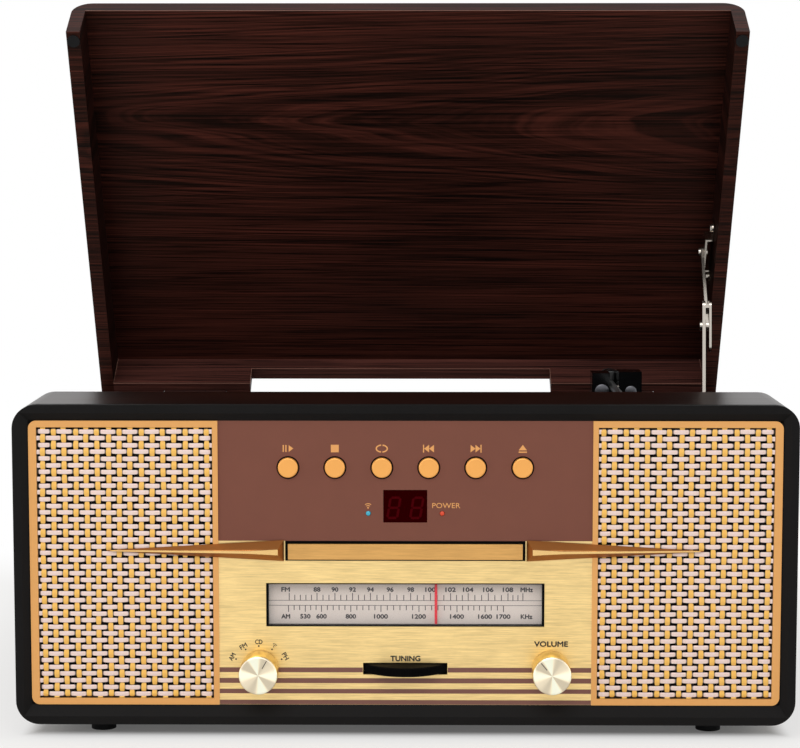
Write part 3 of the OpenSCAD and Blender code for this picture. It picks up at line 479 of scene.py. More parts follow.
bezel_black = finish("bezel_black", FINE_GRAIN, rgb(22, 21, 21), 0.0001, Depth=0.7,
                     Scale=900, Gloss=0.55, Spread=0.2, shader={"Specular IOR Level": 0.07})
moulded_black = finish("moulded_black", FINE_GRAIN, rgb(16, 16, 17), 0.00002, Depth=0.2,
                       Scale=2600, Gloss=0.36, Spread=0.15, shader=DULL)
gloss_black = finish("gloss_black", FINE_GRAIN, rgb(8, 8, 9), 0.000004, Depth=0.2,
                     Scale=1200, Gloss=0.14, Spread=0.08,
                     shader={"Specular IOR Level": 0.3})
wheel_black = finish("wheel_black", FINE_GRAIN, rgb(6, 6, 6), 0.00001, Depth=0.2,
                     Scale=1500, Gloss=0.5, shader={"Specular IOR Level": 0.03})
deck_black = finish("deck_black", FINE_GRAIN, rgb(26, 26, 27), 0.00008, Depth=0.3,
                    Scale=1300, Gloss=0.55, shader=DULL)
rubber_black = finish("rubber_black", FINE_GRAIN, rgb(26, 26, 27), 0.00004, Depth=0.3,
                      Scale=1800, Gloss=0.7, shader=DULL)
print("wood and plastics ready")

# %% [markdown]
# Gold and paint differ in one socket, Metallic. Most gold parts of such a set are lacquered or
# painted, so their Metallic lies between the two, and only screws, stay and arm are bare.
# %% Metals and paints
gold_plate = finish("gold_brushed_plate", BRUSHED, rgb(241, 210, 144), 0.000008, Depth=0.75,
                    Scale=2600, Gloss=0.34, Spread=0.12, shader={"Metallic": 0.7})
gold_trim = finish("gold_trim_paint", FINE_GRAIN, rgb(226, 165, 96), 0.00001, Depth=0.1,
                   Scale=2400, Gloss=0.33, Spread=0.08, shader={"Metallic": 0.5})
spear_gold = finish("spear_gold", FINE_GRAIN, rgb(238, 196, 128), 0.000004, Depth=0.1,
                    Scale=2400, Gloss=0.26, Spread=0.08, shader={"Metallic": 0.75})
# The trims' gold, darkened for their slopes: painted shade.
spear_painted_shade = finish("spear_painted_shade", FINE_GRAIN, rgb(156, 98, 46), 0.000004, Depth=0.1,
                      Scale=2400, Gloss=0.3, Spread=0.08, shader={"Metallic": 0.75})
drawer_gold = finish("gold_drawer", BRUSHED, rgb(214, 163, 93), 0.000006, Depth=0.6,
                     Scale=2600, Gloss=0.36, shader={"Metallic": 0.6})
button_gold = finish("gold_button", FINE_GRAIN, rgb(244, 173, 88), 0.000008, Depth=0.08,
                     Scale=2600, Gloss=0.3, shader={"Metallic": 0.4})
brown_paint = finish("brown_fascia_paint", FINE_GRAIN, rgb(117, 70, 56), 0.000012, Depth=0.14,
                     Scale=2200, Gloss=0.4, Spread=0.1, shader={"Specular IOR Level": 0.25})
blackened_steel = finish("bronzed_steel", FINE_GRAIN, rgb(46, 25, 21), 0.00001, Depth=0.2,
                         Scale=900, Gloss=0.55, shader=DULL)
bright_nickel = finish("bright_nickel", FINE_GRAIN, rgb(198, 190, 180), 0.000006, Depth=0.1,
                       Scale=1500, Gloss=0.16, Spread=0.1, shader=METAL)
zinc_steel = finish("zinc_steel", FINE_GRAIN, rgb(170, 168, 160), 0.00001, Depth=0.25,
                    Scale=500, Gloss=0.38, Spread=0.2, shader=METAL)
satin_alloy = finish("satin_alloy", FINE_GRAIN, rgb(190, 190, 190), 0.000008, Depth=0.12,
                     Scale=1800, Gloss=0.32, shader=METAL)
turned_brass = finish("turned_brass", FINE_GRAIN, rgb(205, 168, 96), 0.000008, Depth=0.12,
                      Scale=1600, Gloss=0.28, shader=METAL)
varnished_iron = finish("varnished_iron", FINE_GRAIN, rgb(72, 66, 60), 0.00008, Depth=0.5,
                        Scale=700, Gloss=0.5)
green_board = finish("green_circuit_board", FINE_GRAIN, rgb(28, 84, 50), 0.00003, Depth=0.6,
                     Scale=300, Gloss=0.35)
print("metals and paints ready")

# %% [markdown]
# Printing ink is matt and has no relief worth showing. The lamps glow faintly, which Emission
# does. The cloths use the weave group, with its scale set to the size of their threads.
# %% Prints, lights and cloths
gold_print = finish("gold_print", FINE_GRAIN, rgb(226, 160, 92), Depth=0.06, Gloss=0.5)
dark_print = finish("dark_print", FINE_GRAIN, rgb(14, 8, 4), Depth=0.06, Gloss=0.5)
scale_print = finish("scale_print", FINE_GRAIN, rgb(40, 32, 36), Depth=0.06, Gloss=0.5)
stripe_brown = finish("stripe_brown", FINE_GRAIN, rgb(117, 74, 63), 0.000008, Depth=0.12,
                      Scale=2200, Gloss=0.42)
pale_print = finish("pale_print", FINE_GRAIN, rgb(190, 188, 182), Depth=0.06, Gloss=0.5)
dial_paper = finish("dial_paper", FINE_GRAIN, rgb(220, 208, 201), Depth=0.05, Scale=900,
                    Gloss=0.5)
pointer_red = finish("pointer_red", FINE_GRAIN, rgb(226, 30, 52), Depth=0.1, Gloss=0.3,
                     shader={"Specular IOR Level": 0.15})
smoked_red = finish("smoked_red_window", FINE_GRAIN, rgb(40, 0, 1), Depth=0.2, Scale=800,
                    Gloss=0.1, shader={"Specular IOR Level": 0.0})
unlit_digit = finish("unlit_digit", FINE_GRAIN, rgb(66, 4, 9), Depth=0.1, Gloss=0.3,
                     shader={"Specular IOR Level": 0.0})
blue_lamp = finish("blue_lamp", FINE_GRAIN, rgb(50, 150, 172), Depth=0.2, Gloss=0.15,
                   shader={"Emission Color": rgb(60, 170, 200), "Emission Strength": 0.25})
red_lamp = finish("red_lamp", FINE_GRAIN, rgb(200, 60, 24), Depth=0.2, Gloss=0.15,
                  shader={"Emission Color": rgb(220, 70, 30), "Emission Strength": 0.15})
clear_window = finish("clear_window", FINE_GRAIN, rgb(250, 250, 250), Depth=0.05, Gloss=0.06,
                      Spread=0.03, shader={"Alpha": 0.03})
dips = {"Bright": at(0, 3.9, 0).y, "Hidden": at(0, 4.08, 0).y}
weft_tape = finish("pale_tape", WEAVE, rgb(236, 212, 205), 0.00002, Depth=0.4, Scale=2400,
                   Gloss=0.5, **dips)
warp_tape = finish("gold_tape", WEAVE, rgb(244, 190, 90), 0.00002, Depth=0.35, Scale=2400,
                   Gloss=0.42, **dips)
scrim = finish("black_scrim", WEAVE, rgb(8, 4, 3), 0.00005, Depth=0.6, Scale=1400,
               Gloss=0.85, shader=DULL)
felt = finish("black_felt", WEAVE, rgb(26, 26, 27), 0.0001, Depth=0.7, Scale=1600, Gloss=0.92,
              shader={"Sheen Weight": 0.25})
print("materials:", len(bpy.data.materials))

# %% [markdown]
# ## Finishing the construction nodes
# Boards, plates and frames have their true shape already, so they stay. Each gets its finish,
# and the ones with sharp visible edges get a small bevel, because no real edge is a perfect
# corner: it catches a thin line of light.
# %% Finishes of the construction nodes
NODE_FINISH = {
    cabinet_wood: "cabinet_shell", lid_wood: "lid_shell", rail_wood: "lid_rear_rail",
    black_board: "rear_panel front_baffle", bezel_black: "front_bezel",
    brown_paint: "upper_fascia", gold_plate: "lower_fascia selector_knob volume_knob",
    gold_trim: "left_grille_frame right_grille_frame", spear_gold: "trim_spears",
    drawer_gold: "drawer_front", smoked_red: "display_window", dial_paper: "dial_plate",
    clear_window: "dial_lens", pointer_red: "dial_pointer",
    wheel_black: "drawer_surround dial_frame",
    moulded_black: "cd_tray rear_sockets tonearm_base arm_rest speed_lever speakers",
    green_board: "control_board main_board", varnished_iron: "power_transformer",
    zinc_steel: "panel_controls tuning_capacitor cd_mechanism turntable_motor cd_spindle "
                "case_screws",
    turned_brass: "platter_bearing motor_pulley", deck_black: "deck_plate",
    rubber_black: "feet lid_bumpers drive_belt",
    blackened_steel: "cabinet_hinge_leaves lid_hinge_leaves",
    bright_nickel: "stay_base_bracket stay_lid_bracket stay_upper_arm stay_lower_arm",
    gloss_black: "tuning_wheel tonearm_gimbal",
    satin_alloy: "tonearm platter", felt: "slip_mat", scrim: "grille_cloths",
    button_gold: "play_pause_button stop_button repeat_button skip_back_button "
                 "skip_forward_button eject_button",
    red_lamp: "indicator_lamps",
}
for material, names in NODE_FINISH.items():
    for name in names.split():
        mesh = frame["nodes"][name].data
        mesh.materials.clear()
        mesh.materials.append(material)
# Faces of the trims that don't look straight ahead take the darkened copy: painted shade.
FACES_FRONT = -0.95
slopes = frame["nodes"]["trim_spears"].data
slopes.materials.append(spear_painted_shade)
for face in slopes.polygons:
    face.material_index = int(face.normal.y > FACES_FRONT)
unfinished = set(frame["nodes"]) - {n for names in NODE_FINISH.values() for n in names.split()}
print("nodes without a finish:", sorted(unfinished))


# %% Softened edges
def soften(name, width, steps=2):
    bevel = frame["nodes"][name].modifiers.new("soft_edge", "BEVEL")
    bevel.width = width * MM
    bevel.segments = steps
    bevel.limit_method = "ANGLE"
    bevel.angle_limit = math.radians(40)
    bevel.harden_normals = True


EDGES = {"lid_shell": 0.5, "lid_rear_rail": 0.4, "cabinet_shell": 0.4, "rear_panel": 0.5,
         "left_grille_frame": 0.5, "right_grille_frame": 0.5, "drawer_front": 0.5,
         "trim_spears": 0.3, "feet": 0.8, "front_bezel": 1.2, "lid_bumpers": 0.5,
         "deck_plate": 0.4}
for name, width in EDGES.items():
    soften(name, width)
print("softened", len(EDGES), "nodes")

# %% [markdown]
# The long trims taper to a point, and a polished ridge runs along each from its flat face to
# the tip. It is a thin bright bar that follows the front of the trim.
# %% Ridges of the trims
low, high = span("trim_spears")
ridge_z, parts = (low.z + high.z) / 2 - 0.15, []
for side in (-1, 1):
    points = [(side * x, y + deep, ridge_z + half * k)
              for x, y, half in ((80.3, -3, 1.75), (99, -3, 0.8), (186.5, 2.35, 0.36))
              for deep, k in ((-0.06, 1), (-0.06, -1), (0.5, -1.2), (0.5, 1.2))]
    parts.append((points, ring_faces(3, 4) + [[3, 2, 1, 0], [8, 9, 10, 11]]))
points, faces = join_parts(parts)
from_faces("trim_ridges", points, faces, spear_gold, "cabinet")
print("ridges at height", round(ridge_z, 1), "of trims", round(high.x, 1))

# %% [markdown]
# A hair-thin pale line runs along edges of the lid. The lines are laid out on the shut lid,
# whose edges are straight with the axes, and `opened` turns their points about the hinge to
# where the open lid has them.
# %% Pale lines along the lid's edges
pale_edge_finish = finish("pale_lid_edge_line", FINE_GRAIN, rgb(128, 92, 80), 0.00001, Depth=0.3, Scale=900,
                   Gloss=0.5, shader=DULL)
# The shut lid: half its width, its nose and its rail from the front, and its notch from side
# to side. Then heights: its rim, which is level with the hinge, its ceiling, and the notch.
HALF, NOSE, RAIL, NOTCH = 237.5, 81.1, 395, (-127.4, 114.6)
RIM = mm(hinge).z
CEILING, NOTCH_TOP = RIM + 34, RIM + 20.5


def opened(point):
    return mm(hinge + shut.transposed() @ (at(*point) - hinge))


def edge_line(start, stop, half=0.2):
    """A square rod between two points of the shut lid, along one axis."""
    low = [min(a, b) - half for a, b in zip(start, stop)]
    high = [max(a, b) + half for a, b in zip(start, stop)]
    box = [(low, high)[i & 1][0:1] + (low, high)[i >> 1 & 1][1:2] + (low, high)[i >> 2][2:3]
           for i in range(8)]
    return [tuple(opened(p)) for p in box], [[0, 2, 3, 1], [4, 5, 7, 6], [0, 1, 5, 4],
                                             [2, 6, 7, 3], [0, 4, 6, 2], [1, 3, 7, 5]]


a, b = NOTCH
points, faces = join_parts([edge_line(*ends) for ends in (
    ((-HALF + 0.3, RAIL, RIM), (a, RAIL, RIM)), ((b, RAIL, RIM), (HALF - 0.3, RAIL, RIM)),
    ((a, RAIL, NOTCH_TOP), (b, RAIL, NOTCH_TOP)), ((a, RAIL, RIM), (a, RAIL, NOTCH_TOP)),
    ((b, RAIL, RIM), (b, RAIL, NOTCH_TOP)),
    ((-HALF + 0.2, RAIL, RIM), (-HALF + 0.2, RAIL, CEILING)),
    ((HALF - 0.2, RAIL, RIM), (HALF - 0.2, RAIL, CEILING)),
    ((-HALF, NOSE, CEILING), (HALF, NOSE, CEILING)))])
from_faces("lid_pale_edge_lines", points, faces, pale_edge_finish, "lid")
print("pale edge lines laid from", [round(v) for v in opened((a, RAIL, RIM))])

# %% [markdown]
# ## The woven grilles
# Each loudspeaker opening is covered with a cloth of flat tapes. Sixteen gold tapes run up and
# forty pale ones run across, over one and under the next, in front of a black scrim. Every
# tape is modelled, because the dark gaps and the rounded crossings are what the eye reads as
# cloth. A tape follows a wave whose crests are at the crossings, and its section is a lens.
# %% One tape
LENS_SECTION = [(-1, -0.05), (-0.86, -0.16), (0, -0.2), (0.86, -0.16), (1, -0.05), (0, 0.06)]


def tape_mesh(stations, sideways):
    """Stations of (x, y, z, half width) along a tape, and the direction of its width."""
    points = [(x + sideways[0] * across * half, y + deep, z + sideways[1] * across * half)
              for x, y, z, half in stations for across, deep in LENS_SECTION]
    rings = len(stations), len(LENS_SECTION)
    return points, ring_faces(*rings) + end_faces(*rings)


# %% [markdown]
# A loom never spaces its tapes quite evenly. Each place gets a little play from a seeded random
# number, so the cloth looks woven and still comes out the same every time.
# %% The cloth of one side
TAPES_UP, TAPES_ACROSS, STEPS = 16, 40, 6
X_FIRST, X_LAST, Z_FIRST, Z_LAST = 229.0, 125.1, 197.8, 29.6
CLOTH_X, CLOTH_Z = (121.9, 232.5), (27.1, 200.3)
CLOTH_Y = 3.95
luck = random.Random(12)


def spaced(first, last, count, play):
    """Places from first to last, each with a little play, as on a loom."""
    return [first + (last - first) * k / (count - 1) + luck.uniform(-play, play)
            for k in range(count)]


def along(marks):
    """Steps along a tape between its crossings: the place, and the crossings passed."""
    for i, (a, b) in enumerate(zip(marks, marks[1:])):
        for s in range(STEPS if i < len(marks) - 2 else STEPS + 1):
            yield a + (b - a) * s / STEPS, i - 1 + s / STEPS


def grille_cloth(name, side):
    columns = spaced(X_FIRST, X_LAST, TAPES_UP, 0.25)
    rows = spaced(Z_FIRST, Z_LAST, TAPES_ACROSS, 0.12)
    bend = [luck.uniform(0, 6) for _ in range(TAPES_UP + TAPES_ACROSS)]
    up, across = [], []
    for j, x in enumerate(columns):
        stations = []
        for z, passed in along([CLOTH_Z[1]] + rows + [CLOTH_Z[0]]):
            wave = math.cos(math.pi * (passed + j))
            wander = 0.35 * math.sin(z / 23 + bend[j]) + 0.12 * math.sin(z / 5 + bend[j])
            stations.append((side * (x + wander), CLOTH_Y + 0.5 * wave, z, 1.42 - 0.22 * wave))
        up.append(tape_mesh(stations, (1, 0)))
    for i, z in enumerate(rows):
        stations = []
        for x, passed in along([CLOTH_X[1]] + columns + [CLOTH_X[0]]):
            wave = -math.cos(math.pi * (passed + i))
            wander = 0.14 * math.sin(x / 17 + bend[TAPES_UP + i])
            stations.append((side * x, CLOTH_Y + 0.42 * wave, z + wander, 1.38 - 0.06 * wave))
        across.append(tape_mesh(stations, (0, 1)))
    first = join_parts(up)
    points, faces = join_parts([first, join_parts(across)])
    cloth = from_faces(name, points, faces, warp_tape, "cabinet", 60)
    cloth.data.materials.append(weft_tape)
    for face in cloth.data.polygons[len(first[1]):]:
        face.material_index = 1
    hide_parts("grille_cloths")
    print(name, len(points), "points for", len(up) + len(across), "tapes")


grille_cloth("left_grille_cloth", -1)
grille_cloth("right_grille_cloth", 1)

# %% [markdown]
# The scrim behind the tapes is a thin black fabric that keeps dust out and hides the cones. It
# is one flat layer stretched over the edge of the opening, so a thin slab with its own weave
# in the material is enough.
# %% Scrims
SCRIM_Y = 5.0, 5.6
for name, side in (("left_grille_scrim", -1), ("right_grille_scrim", 1)):
    x0, x1 = sorted((side * CLOTH_X[0], side * CLOTH_X[1]))
    points, faces = slab_mesh([(x0, CLOTH_Z[0]), (x1, CLOTH_Z[0]), (x1, CLOTH_Z[1]),
                               (x0, CLOTH_Z[1])], *SCRIM_Y)
    sheet = from_faces(name, points, faces, scrim, "cabinet")
    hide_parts("grille_cloths")
print("scrims stretched")

# %% [markdown]
# ## Push buttons
# Each button is a moulded cap with a flat face and a rolled edge that catches the light. A
# profile turned about its axis gives the cap, its retaining flange and its stem in one mesh.
# A thin dark ring round each is painted shade, where the gap between the cap and its hole in the
# panel lies.
# %% Buttons and their rings
BUTTONS = ["play_pause_button", "stop_button", "repeat_button", "skip_back_button",
           "skip_forward_button", "eject_button"]
CAP = [(0, 1.72), (4.6, 1.72), (5.35, 1.62), (5.8, 1.68), (6.15, 1.95), (6.33, 2.4), (6.38, 3),
       (6.38, 6.2), (7.78, 6.2), (7.78, 7.18), (1.8, 7.18), (1.8, 8.65), (0, 8.65)]
# A dark ring on the panel round each cap: painted shade of the gap.
GAP_SHADE_RING = [(6.5, 4.05), (6.5, 3.86), (7.22, 3.86), (7.3, 4.05)]
rings = []
for name in BUTTONS:
    low, high = span(name)
    x, z = (low.x + high.x) / 2, (low.z + high.z) / 2
    cap = turned(name + "_cap", CAP, (x, 0, z), "y", button_gold, name, 64)
    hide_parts(name)
    rings.append(turned_mesh(GAP_SHADE_RING, (x, 0, z), "y", 64, closed=True))
points, faces = join_parts(rings)
from_faces("button_gap_shade_rings", points, faces, wheel_black, "cabinet")
print("buttons at", round(x, 1), round(z, 1))

# %% [markdown]
# ## Printing on the panels
# The signs, words and stripes are screen printed. Printing ink has almost no thickness, so a
# print is a flat shape a twentieth of a millimetre proud of the panel. Signs are outlines in
# millimetres, and words come from Blender's own letters, turned into a mesh and fitted to
# the height and width of the real word.
# %% Outlines
INK = 0.05


def outline_print(name, outlines, material, y=FASCIA):
    points, faces = join_parts([slab_mesh(o, y - INK, y + INK) for o in outlines])
    from_faces(name, points, faces, material, "cabinet")
    print(name, "has", len(outlines), "outlines")


def box_outline(x0, z0, x1, z1):
    return [(x0, z0), (x1, z0), (x1, z1), (x0, z1)]


def band_outline(cx, cz, rx, rz, width, start, stop, steps=12):
    angles = [math.radians(start + (stop - start) * i / steps) for i in range(steps + 1)]
    outer = [(cx + rx * math.cos(a), cz + rz * math.sin(a)) for a in angles]
    inner = [(cx + (rx - width) * math.cos(a), cz + (rz - width) * math.sin(a))
             for a in reversed(angles)]
    return outer + inner


def dot_outline(cx, cz, r, steps=20):
    return [(cx + r * math.cos(math.tau * i / steps), cz + r * math.sin(math.tau * i / steps))
            for i in range(steps)]


# %% Letters
def letters(text, x, z, width, height, y=FASCIA, turn=0.0, bold=0.0):
    """The points and faces of a printed word, centred on (x, z) and turned by degrees.

    A bold word is printed five times, four of them a little to one side.
    """
    if bold:
        slim = (width - 2 * bold, height - 2 * bold)
        return join_parts([letters(text, x + a * bold, z + b * bold, *slim,
                                   y - 0.004 * k, turn)
                           for k, (a, b) in enumerate(((0, 0), (1, 0), (-1, 0), (0, 1), (0, -1)))])
    curve = bpy.data.curves.new("letters", "FONT")
    curve.body, curve.extrude, curve.resolution_u = text, 0.02, 3
    holder = bpy.data.objects.new("letters", curve)
    bpy.context.scene.collection.objects.link(holder)
    graph = bpy.context.evaluated_depsgraph_get()
    shape = bpy.data.meshes.new_from_object(holder.evaluated_get(graph))
    xs, ys = [v.co.x for v in shape.vertices], [v.co.y for v in shape.vertices]
    fit_x, fit_y = width / (max(xs) - min(xs)), height / (max(ys) - min(ys))
    mid_x, mid_y = (max(xs) + min(xs)) / 2, (max(ys) + min(ys)) / 2
    c, s = math.cos(math.radians(turn)), math.sin(math.radians(turn))
    points = []
    for v in shape.vertices:
        a, b = (v.co.x - mid_x) * fit_x, (v.co.y - mid_y) * fit_y
        points.append((x + a * c - b * s, y - INK if v.co.z > 0 else y + INK,
                       z + a * s + b * c))
    faces = [list(p.vertices) for p in shape.polygons]
    bpy.data.objects.remove(holder)
    bpy.data.curves.remove(curve)
    bpy.data.meshes.remove(shape)
    return points, faces


def word_print(name, words, material):
    points, faces = join_parts([letters(*place, **style) for place, style in words])
    from_faces(name, points, faces, material, "cabinet")
    print(name, "has", len(words), "words")


# %% [markdown]
# The six signs are the usual ones of a disc player. Each is drawn from boxes, triangles and
# bent bands about the middle of its button, and two arcs over a dot mark the wireless lamp.
# %% Signs above the buttons
SIGN_Z, PITCH = 187.1, 29.6
LAMP_X, LAMP_Z = 23.5, 149.4


def triangle(x0, x1, z, half):
    return [(x0, z - half), (x0, z + half), (x1, z)]


columns = [(i - 2.5) * PITCH for i in range(6)]
x = columns[0]
signs = [box_outline(x - 3.3, SIGN_Z - 2.2, x - 2.5, SIGN_Z + 2.2),
         box_outline(x - 1.6, SIGN_Z - 2.2, x - 0.8, SIGN_Z + 2.2),
         triangle(x + 0.5, x + 3.4, SIGN_Z, 2.2)]
x = columns[1]
signs.append(box_outline(x - 2.5, SIGN_Z - 2.4, x + 2.5, SIGN_Z + 2.4))
x = columns[2]
signs += [band_outline(x, SIGN_Z, 3.9, 2.6, 0.85, 96, 262),
          band_outline(x, SIGN_Z, 3.9, 2.6, 0.85, -84, 82)]
for x, way in ((columns[3], -1), (columns[4], 1)):
    signs += [box_outline(x + way * 3.3 - 0.35, SIGN_Z - 2.5, x + way * 3.3 + 0.35, SIGN_Z + 2.5),
              triangle(x - way * 3.3, x - way * 0.2, SIGN_Z, 2.4),
              triangle(x - way * 0.2, x + way * 2.95, SIGN_Z, 2.4)]
x = columns[5]
signs += [[(x - 2.6, SIGN_Z - 1.0), (x + 2.6, SIGN_Z - 1.0), (x, SIGN_Z + 2.5)],
          box_outline(x - 2.6, SIGN_Z - 2.6, x + 2.6, SIGN_Z - 1.75)]
wireless = [dot_outline(-LAMP_X, LAMP_Z, 0.55)]
wireless += [band_outline(-LAMP_X, LAMP_Z, r, r, 0.5, 45, 135, 8) for r in (1.7, 2.9)]
outline_print("printed_signs", signs + wireless, gold_print)
word_print("printed_power_word", [(("POWER", 25.9, 150.9, 17.7, 3.3), {})], gold_print)

# %% [markdown]
# The words at the knobs are bold. Blender's own letters are thin, so a bold word is printed
# five times, a fraction of a millimetre apart, which thickens all its strokes alike.
# %% Words round the knobs and the wheel
BOLD, MEDIUM = {"bold": 0.2}, {"bold": 0.11}
word_print("printed_knob_words", [
    (("TUNING", 0.1, 52.6, 19.2, 3.7), BOLD), (("VOLUME", 92.6, 62.1, 21.6, 3.7), BOLD),
    (("AM", -110.1, 53.5, 5.0, 3.0), {"turn": 60, **MEDIUM}),
    (("FM", -102.9, 60.4, 4.8, 3.0), {"turn": 30, **MEDIUM}),
    (("CD", -93.1, 63.2, 4.8, 3.0), MEDIUM),
    (("PH", -76.2, 53.9, 4.8, 3.0), {"turn": -60, **MEDIUM})],
    dark_print)
dots = [(-107.6, 52.0), (-101.5, 58.3), (-93.1, 60.5), (-84.7, 58.3), (-78.6, 52.0)]
marks = [dot_outline(a, b, 0.55) for a, b in dots]
marks += [dot_outline(-83.6, 60.0, 0.4)] + [
    band_outline(-83.6, 60.0, r, r, 0.4, 15, 105, 8) for r in (1.3, 2.2)]
outline_print("printed_knob_marks", marks, dark_print)

# %% [markdown]
# Four brown stripes cross the foot of the gold plate. The top one stops on each side of the
# wheel's slot and of the two knob shafts, as the plate does.
# %% Stripes
outline_print("printed_stripes", [
    box_outline(a, 43.6, b, 46.7) for a, b in ((-118.1, -97.4), (-87.2, -27.0), (27.0, 87.2),
                                              (97.4, 118.1))] + [
    box_outline(-118.1, a, 118.1, b) for a, b in ((36.6, 39.8), (29.9, 32.8), (22.8, 25.7))],
    stripe_brown)

# %% [markdown]
# ## The display and the two lamps
# Behind smoked red plastic two digits of seven bars each show faintly although they are off.
# Each bar is a long six-sided shape, and the whole digit leans a little.
# %% Digits and lamps
def digit_bars(cx, cz, w=3.1, h=6.45, t=0.8, g=0.25, lean=0.165):
    """Seven bars, t half thick, of a digit 2w wide and 2h tall, with gaps of g between them."""
    bars = []
    for x0, z0, x1, z1 in ((-w, h, w, h), (-w, 0, w, 0), (-w, -h, w, -h), (-w, 0, -w, h),
                           (w, 0, w, h), (-w, -h, -w, 0), (w, -h, w, 0)):
        if z0 == z1:
            bar = [(x0 + g, z0), (x0 + t, z0 + t), (x1 - t, z0 + t), (x1 - g, z0),
                   (x1 - t, z0 - t), (x0 + t, z0 - t)]
        else:
            bar = [(x0, z0 + g), (x0 + t, z0 + t), (x0 + t, z1 - t), (x0, z1 - g),
                   (x0 - t, z1 - t), (x0 - t, z0 + t)]
        bars.append([(cx + a + lean * b, cz + b) for a, b in bar])
    return bars


outline_print("display_digits", digit_bars(-7.2, LAMP_Z) + digit_bars(7.3, LAMP_Z),
              unlit_digit)
LENS = [(0, 3.35), (0.8, 3.45), (1.3, 3.75), (1.48, 4.2), (1.48, 13.9), (0, 13.9)]
for name, x, material in (("wireless_lamp", -23.4, blue_lamp), ("power_lamp", 23.3, red_lamp)):
    bulb = turned(name, LENS, (x, 0, 145.8), "y", material, "cabinet", 32)
    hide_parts("indicator_lamps")
print("display and lamps done")

# %% [markdown]
# ## The tuning dial
# A pale plate behind a clear window has two scales, one above the other. The long strokes are
# at the numbers, and the short ones share out the space between them.
# %% Scales
DIAL_Y = span("dial_plate")[0].y
UPPER = [("88", -56.2), ("90", -44.8), ("92", -33.6), ("94", -22.2), ("96", -9.7), ("98", 3.4),
         ("100", 16.0), ("102", 28.8), ("104", 40.0), ("106", 52.8), ("108", 65.3)]
LOWER = [("530", -63.7), ("600", -53.4), ("800", -34.7), ("1000", -15.5), ("1200", 8.7),
         ("1400", 32.9), ("1600", 50.8), ("1700", 62.5)]


def ticks(numbers, first, last, line, long_end, short_end, gap=3.75, half=0.26):
    """Strokes from a line to their ends, long at the numbers and short at each gap between."""
    places = [first] + [x for _, x in numbers] + ([last] if last else [])
    strokes = []
    for a, b in zip(places, places[1:] + [None]):
        strokes.append((a, long_end))
        if b is not None:
            n = max(1, round((b - a) / gap))
            strokes += [(a + (b - a) * k / n, short_end) for k in range(1, n)]
    return [box_outline(x - half, min(line, end), x + half, max(line, end))
            for x, end in strokes]


scale_lines = [box_outline(-87.0, 88.75, 87.0, 89.05), box_outline(-87.0, 85.55, 87.0, 85.85)]
scale_lines += ticks(UPPER, -73.9, 74.8, 88.9, 93.7, 92.5)
scale_lines += ticks(LOWER, -74.4, None, 85.7, 81.5, 82.6)
outline_print("dial_scale_lines", scale_lines, scale_print, y=DIAL_Y)
UPPER_Z, LOWER_Z, NUMBER_HEIGHT, DIGIT_WIDTH = 95.95, 78.6, 3.1, 2.25
dial_words = [(t, x, z, DIGIT_WIDTH * len(t)) for z, scale in ((UPPER_Z, UPPER), (LOWER_Z, LOWER))
              for t, x in scale]
dial_words += [("FM", -76.2, UPPER_Z, 5.6), ("AM", -76.2, LOWER_Z, 5.8),
               ("MHz", 77.2, UPPER_Z, 8.0), ("KHz", 77.2, LOWER_Z, 7.6)]
word_print("dial_numbers", [((*word, NUMBER_HEIGHT), {"y": DIAL_Y, **BOLD})
                            for word in dial_words], scale_print)

# %% [markdown]
# ## Knobs and tuning wheel
# The knobs are turned from bar: the face is faced off in a spiral, so light gathers on it in
# bright sectors, and the sides are plain and polished. The shader makes such sectors by itself
# when its highlight is drawn out round the axis, which is what anisotropy with a radial
# tangent does, and the face's colour is also painted lighter and darker in sectors, as painted
# highlights. The wheel has a milled rim for the thumb.
# %% Knobs
def spun_finish(name, colour, centre):
    # The sector setting paints bright and dark wedges into the face's colour: painted highlights.
    material = finish(name, RINGS, colour, 0.000004, Depth=0.1, Scale=3500, Gloss=0.3,
                      Spread=0.08, Sectors=0.3, shift=tuple(-at(*centre)),
                      shader={"Metallic": 1.0, "Anisotropic": 0.85})
    tree = material.node_tree
    round_axis = put(tree, "ShaderNodeTangent", direction_type="RADIAL", axis="Y")
    shader = next(n for n in tree.nodes if n.type == "BSDF_PRINCIPLED")
    tree.links.new(round_axis.outputs[0], shader.inputs["Tangent"])
    return material


knob_side = finish("knob_side_gold", FINE_GRAIN, rgb(237, 208, 133), 0.000004, Depth=0.08,
                   Scale=1500, Gloss=0.3, Spread=0.06, shader=METAL)
SIDES = [(11.7, -15.2), (12.05, -14.9), (12.2, -14.4), (12.2, 0.6), (12.05, 1.6), (11.6, 2.3),
         (3, 2.3), (3, 21.9), (0, 21.9), (0, -15.2)]
FACE = [(0, -16.62), (4, -16.58), (8, -16.6), (10.6, -16.72), (11.3, -16.75), (11.8, -16.5),
        (12.1, -16), (12.18, -15.4), (11.9, -15.25), (0, -15.25)]
POINTER = box_outline(-0.22, 5.2, 0.22, 10.9)
KNOB_X, KNOB_Z = 92.3, 46
for name, x, angle in (("selector_knob", -KNOB_X, 30), ("volume_knob", KNOB_X, -40)):
    grip = turned(name + "_grip", SIDES, (x, 0, KNOB_Z), "y", knob_side, name, 96)
    spun = spun_finish(name + "_spun_face", rgb(252, 237, 207), (x, -16, KNOB_Z))
    face = turned(name + "_face", FACE, (x, 0, KNOB_Z), "y", spun, name, 96)
    for piece in (grip, face):
        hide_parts(name)
    c, s = math.cos(math.radians(angle)), math.sin(math.radians(angle))
    line = [(x + a * c + b * s, KNOB_Z - a * s + b * c) for a, b in POINTER]
    points, faces = slab_mesh(line, -16.9, -16.5)
    from_faces(name + "_pointer_line", points, faces, dark_print, name)
print("knobs turned")

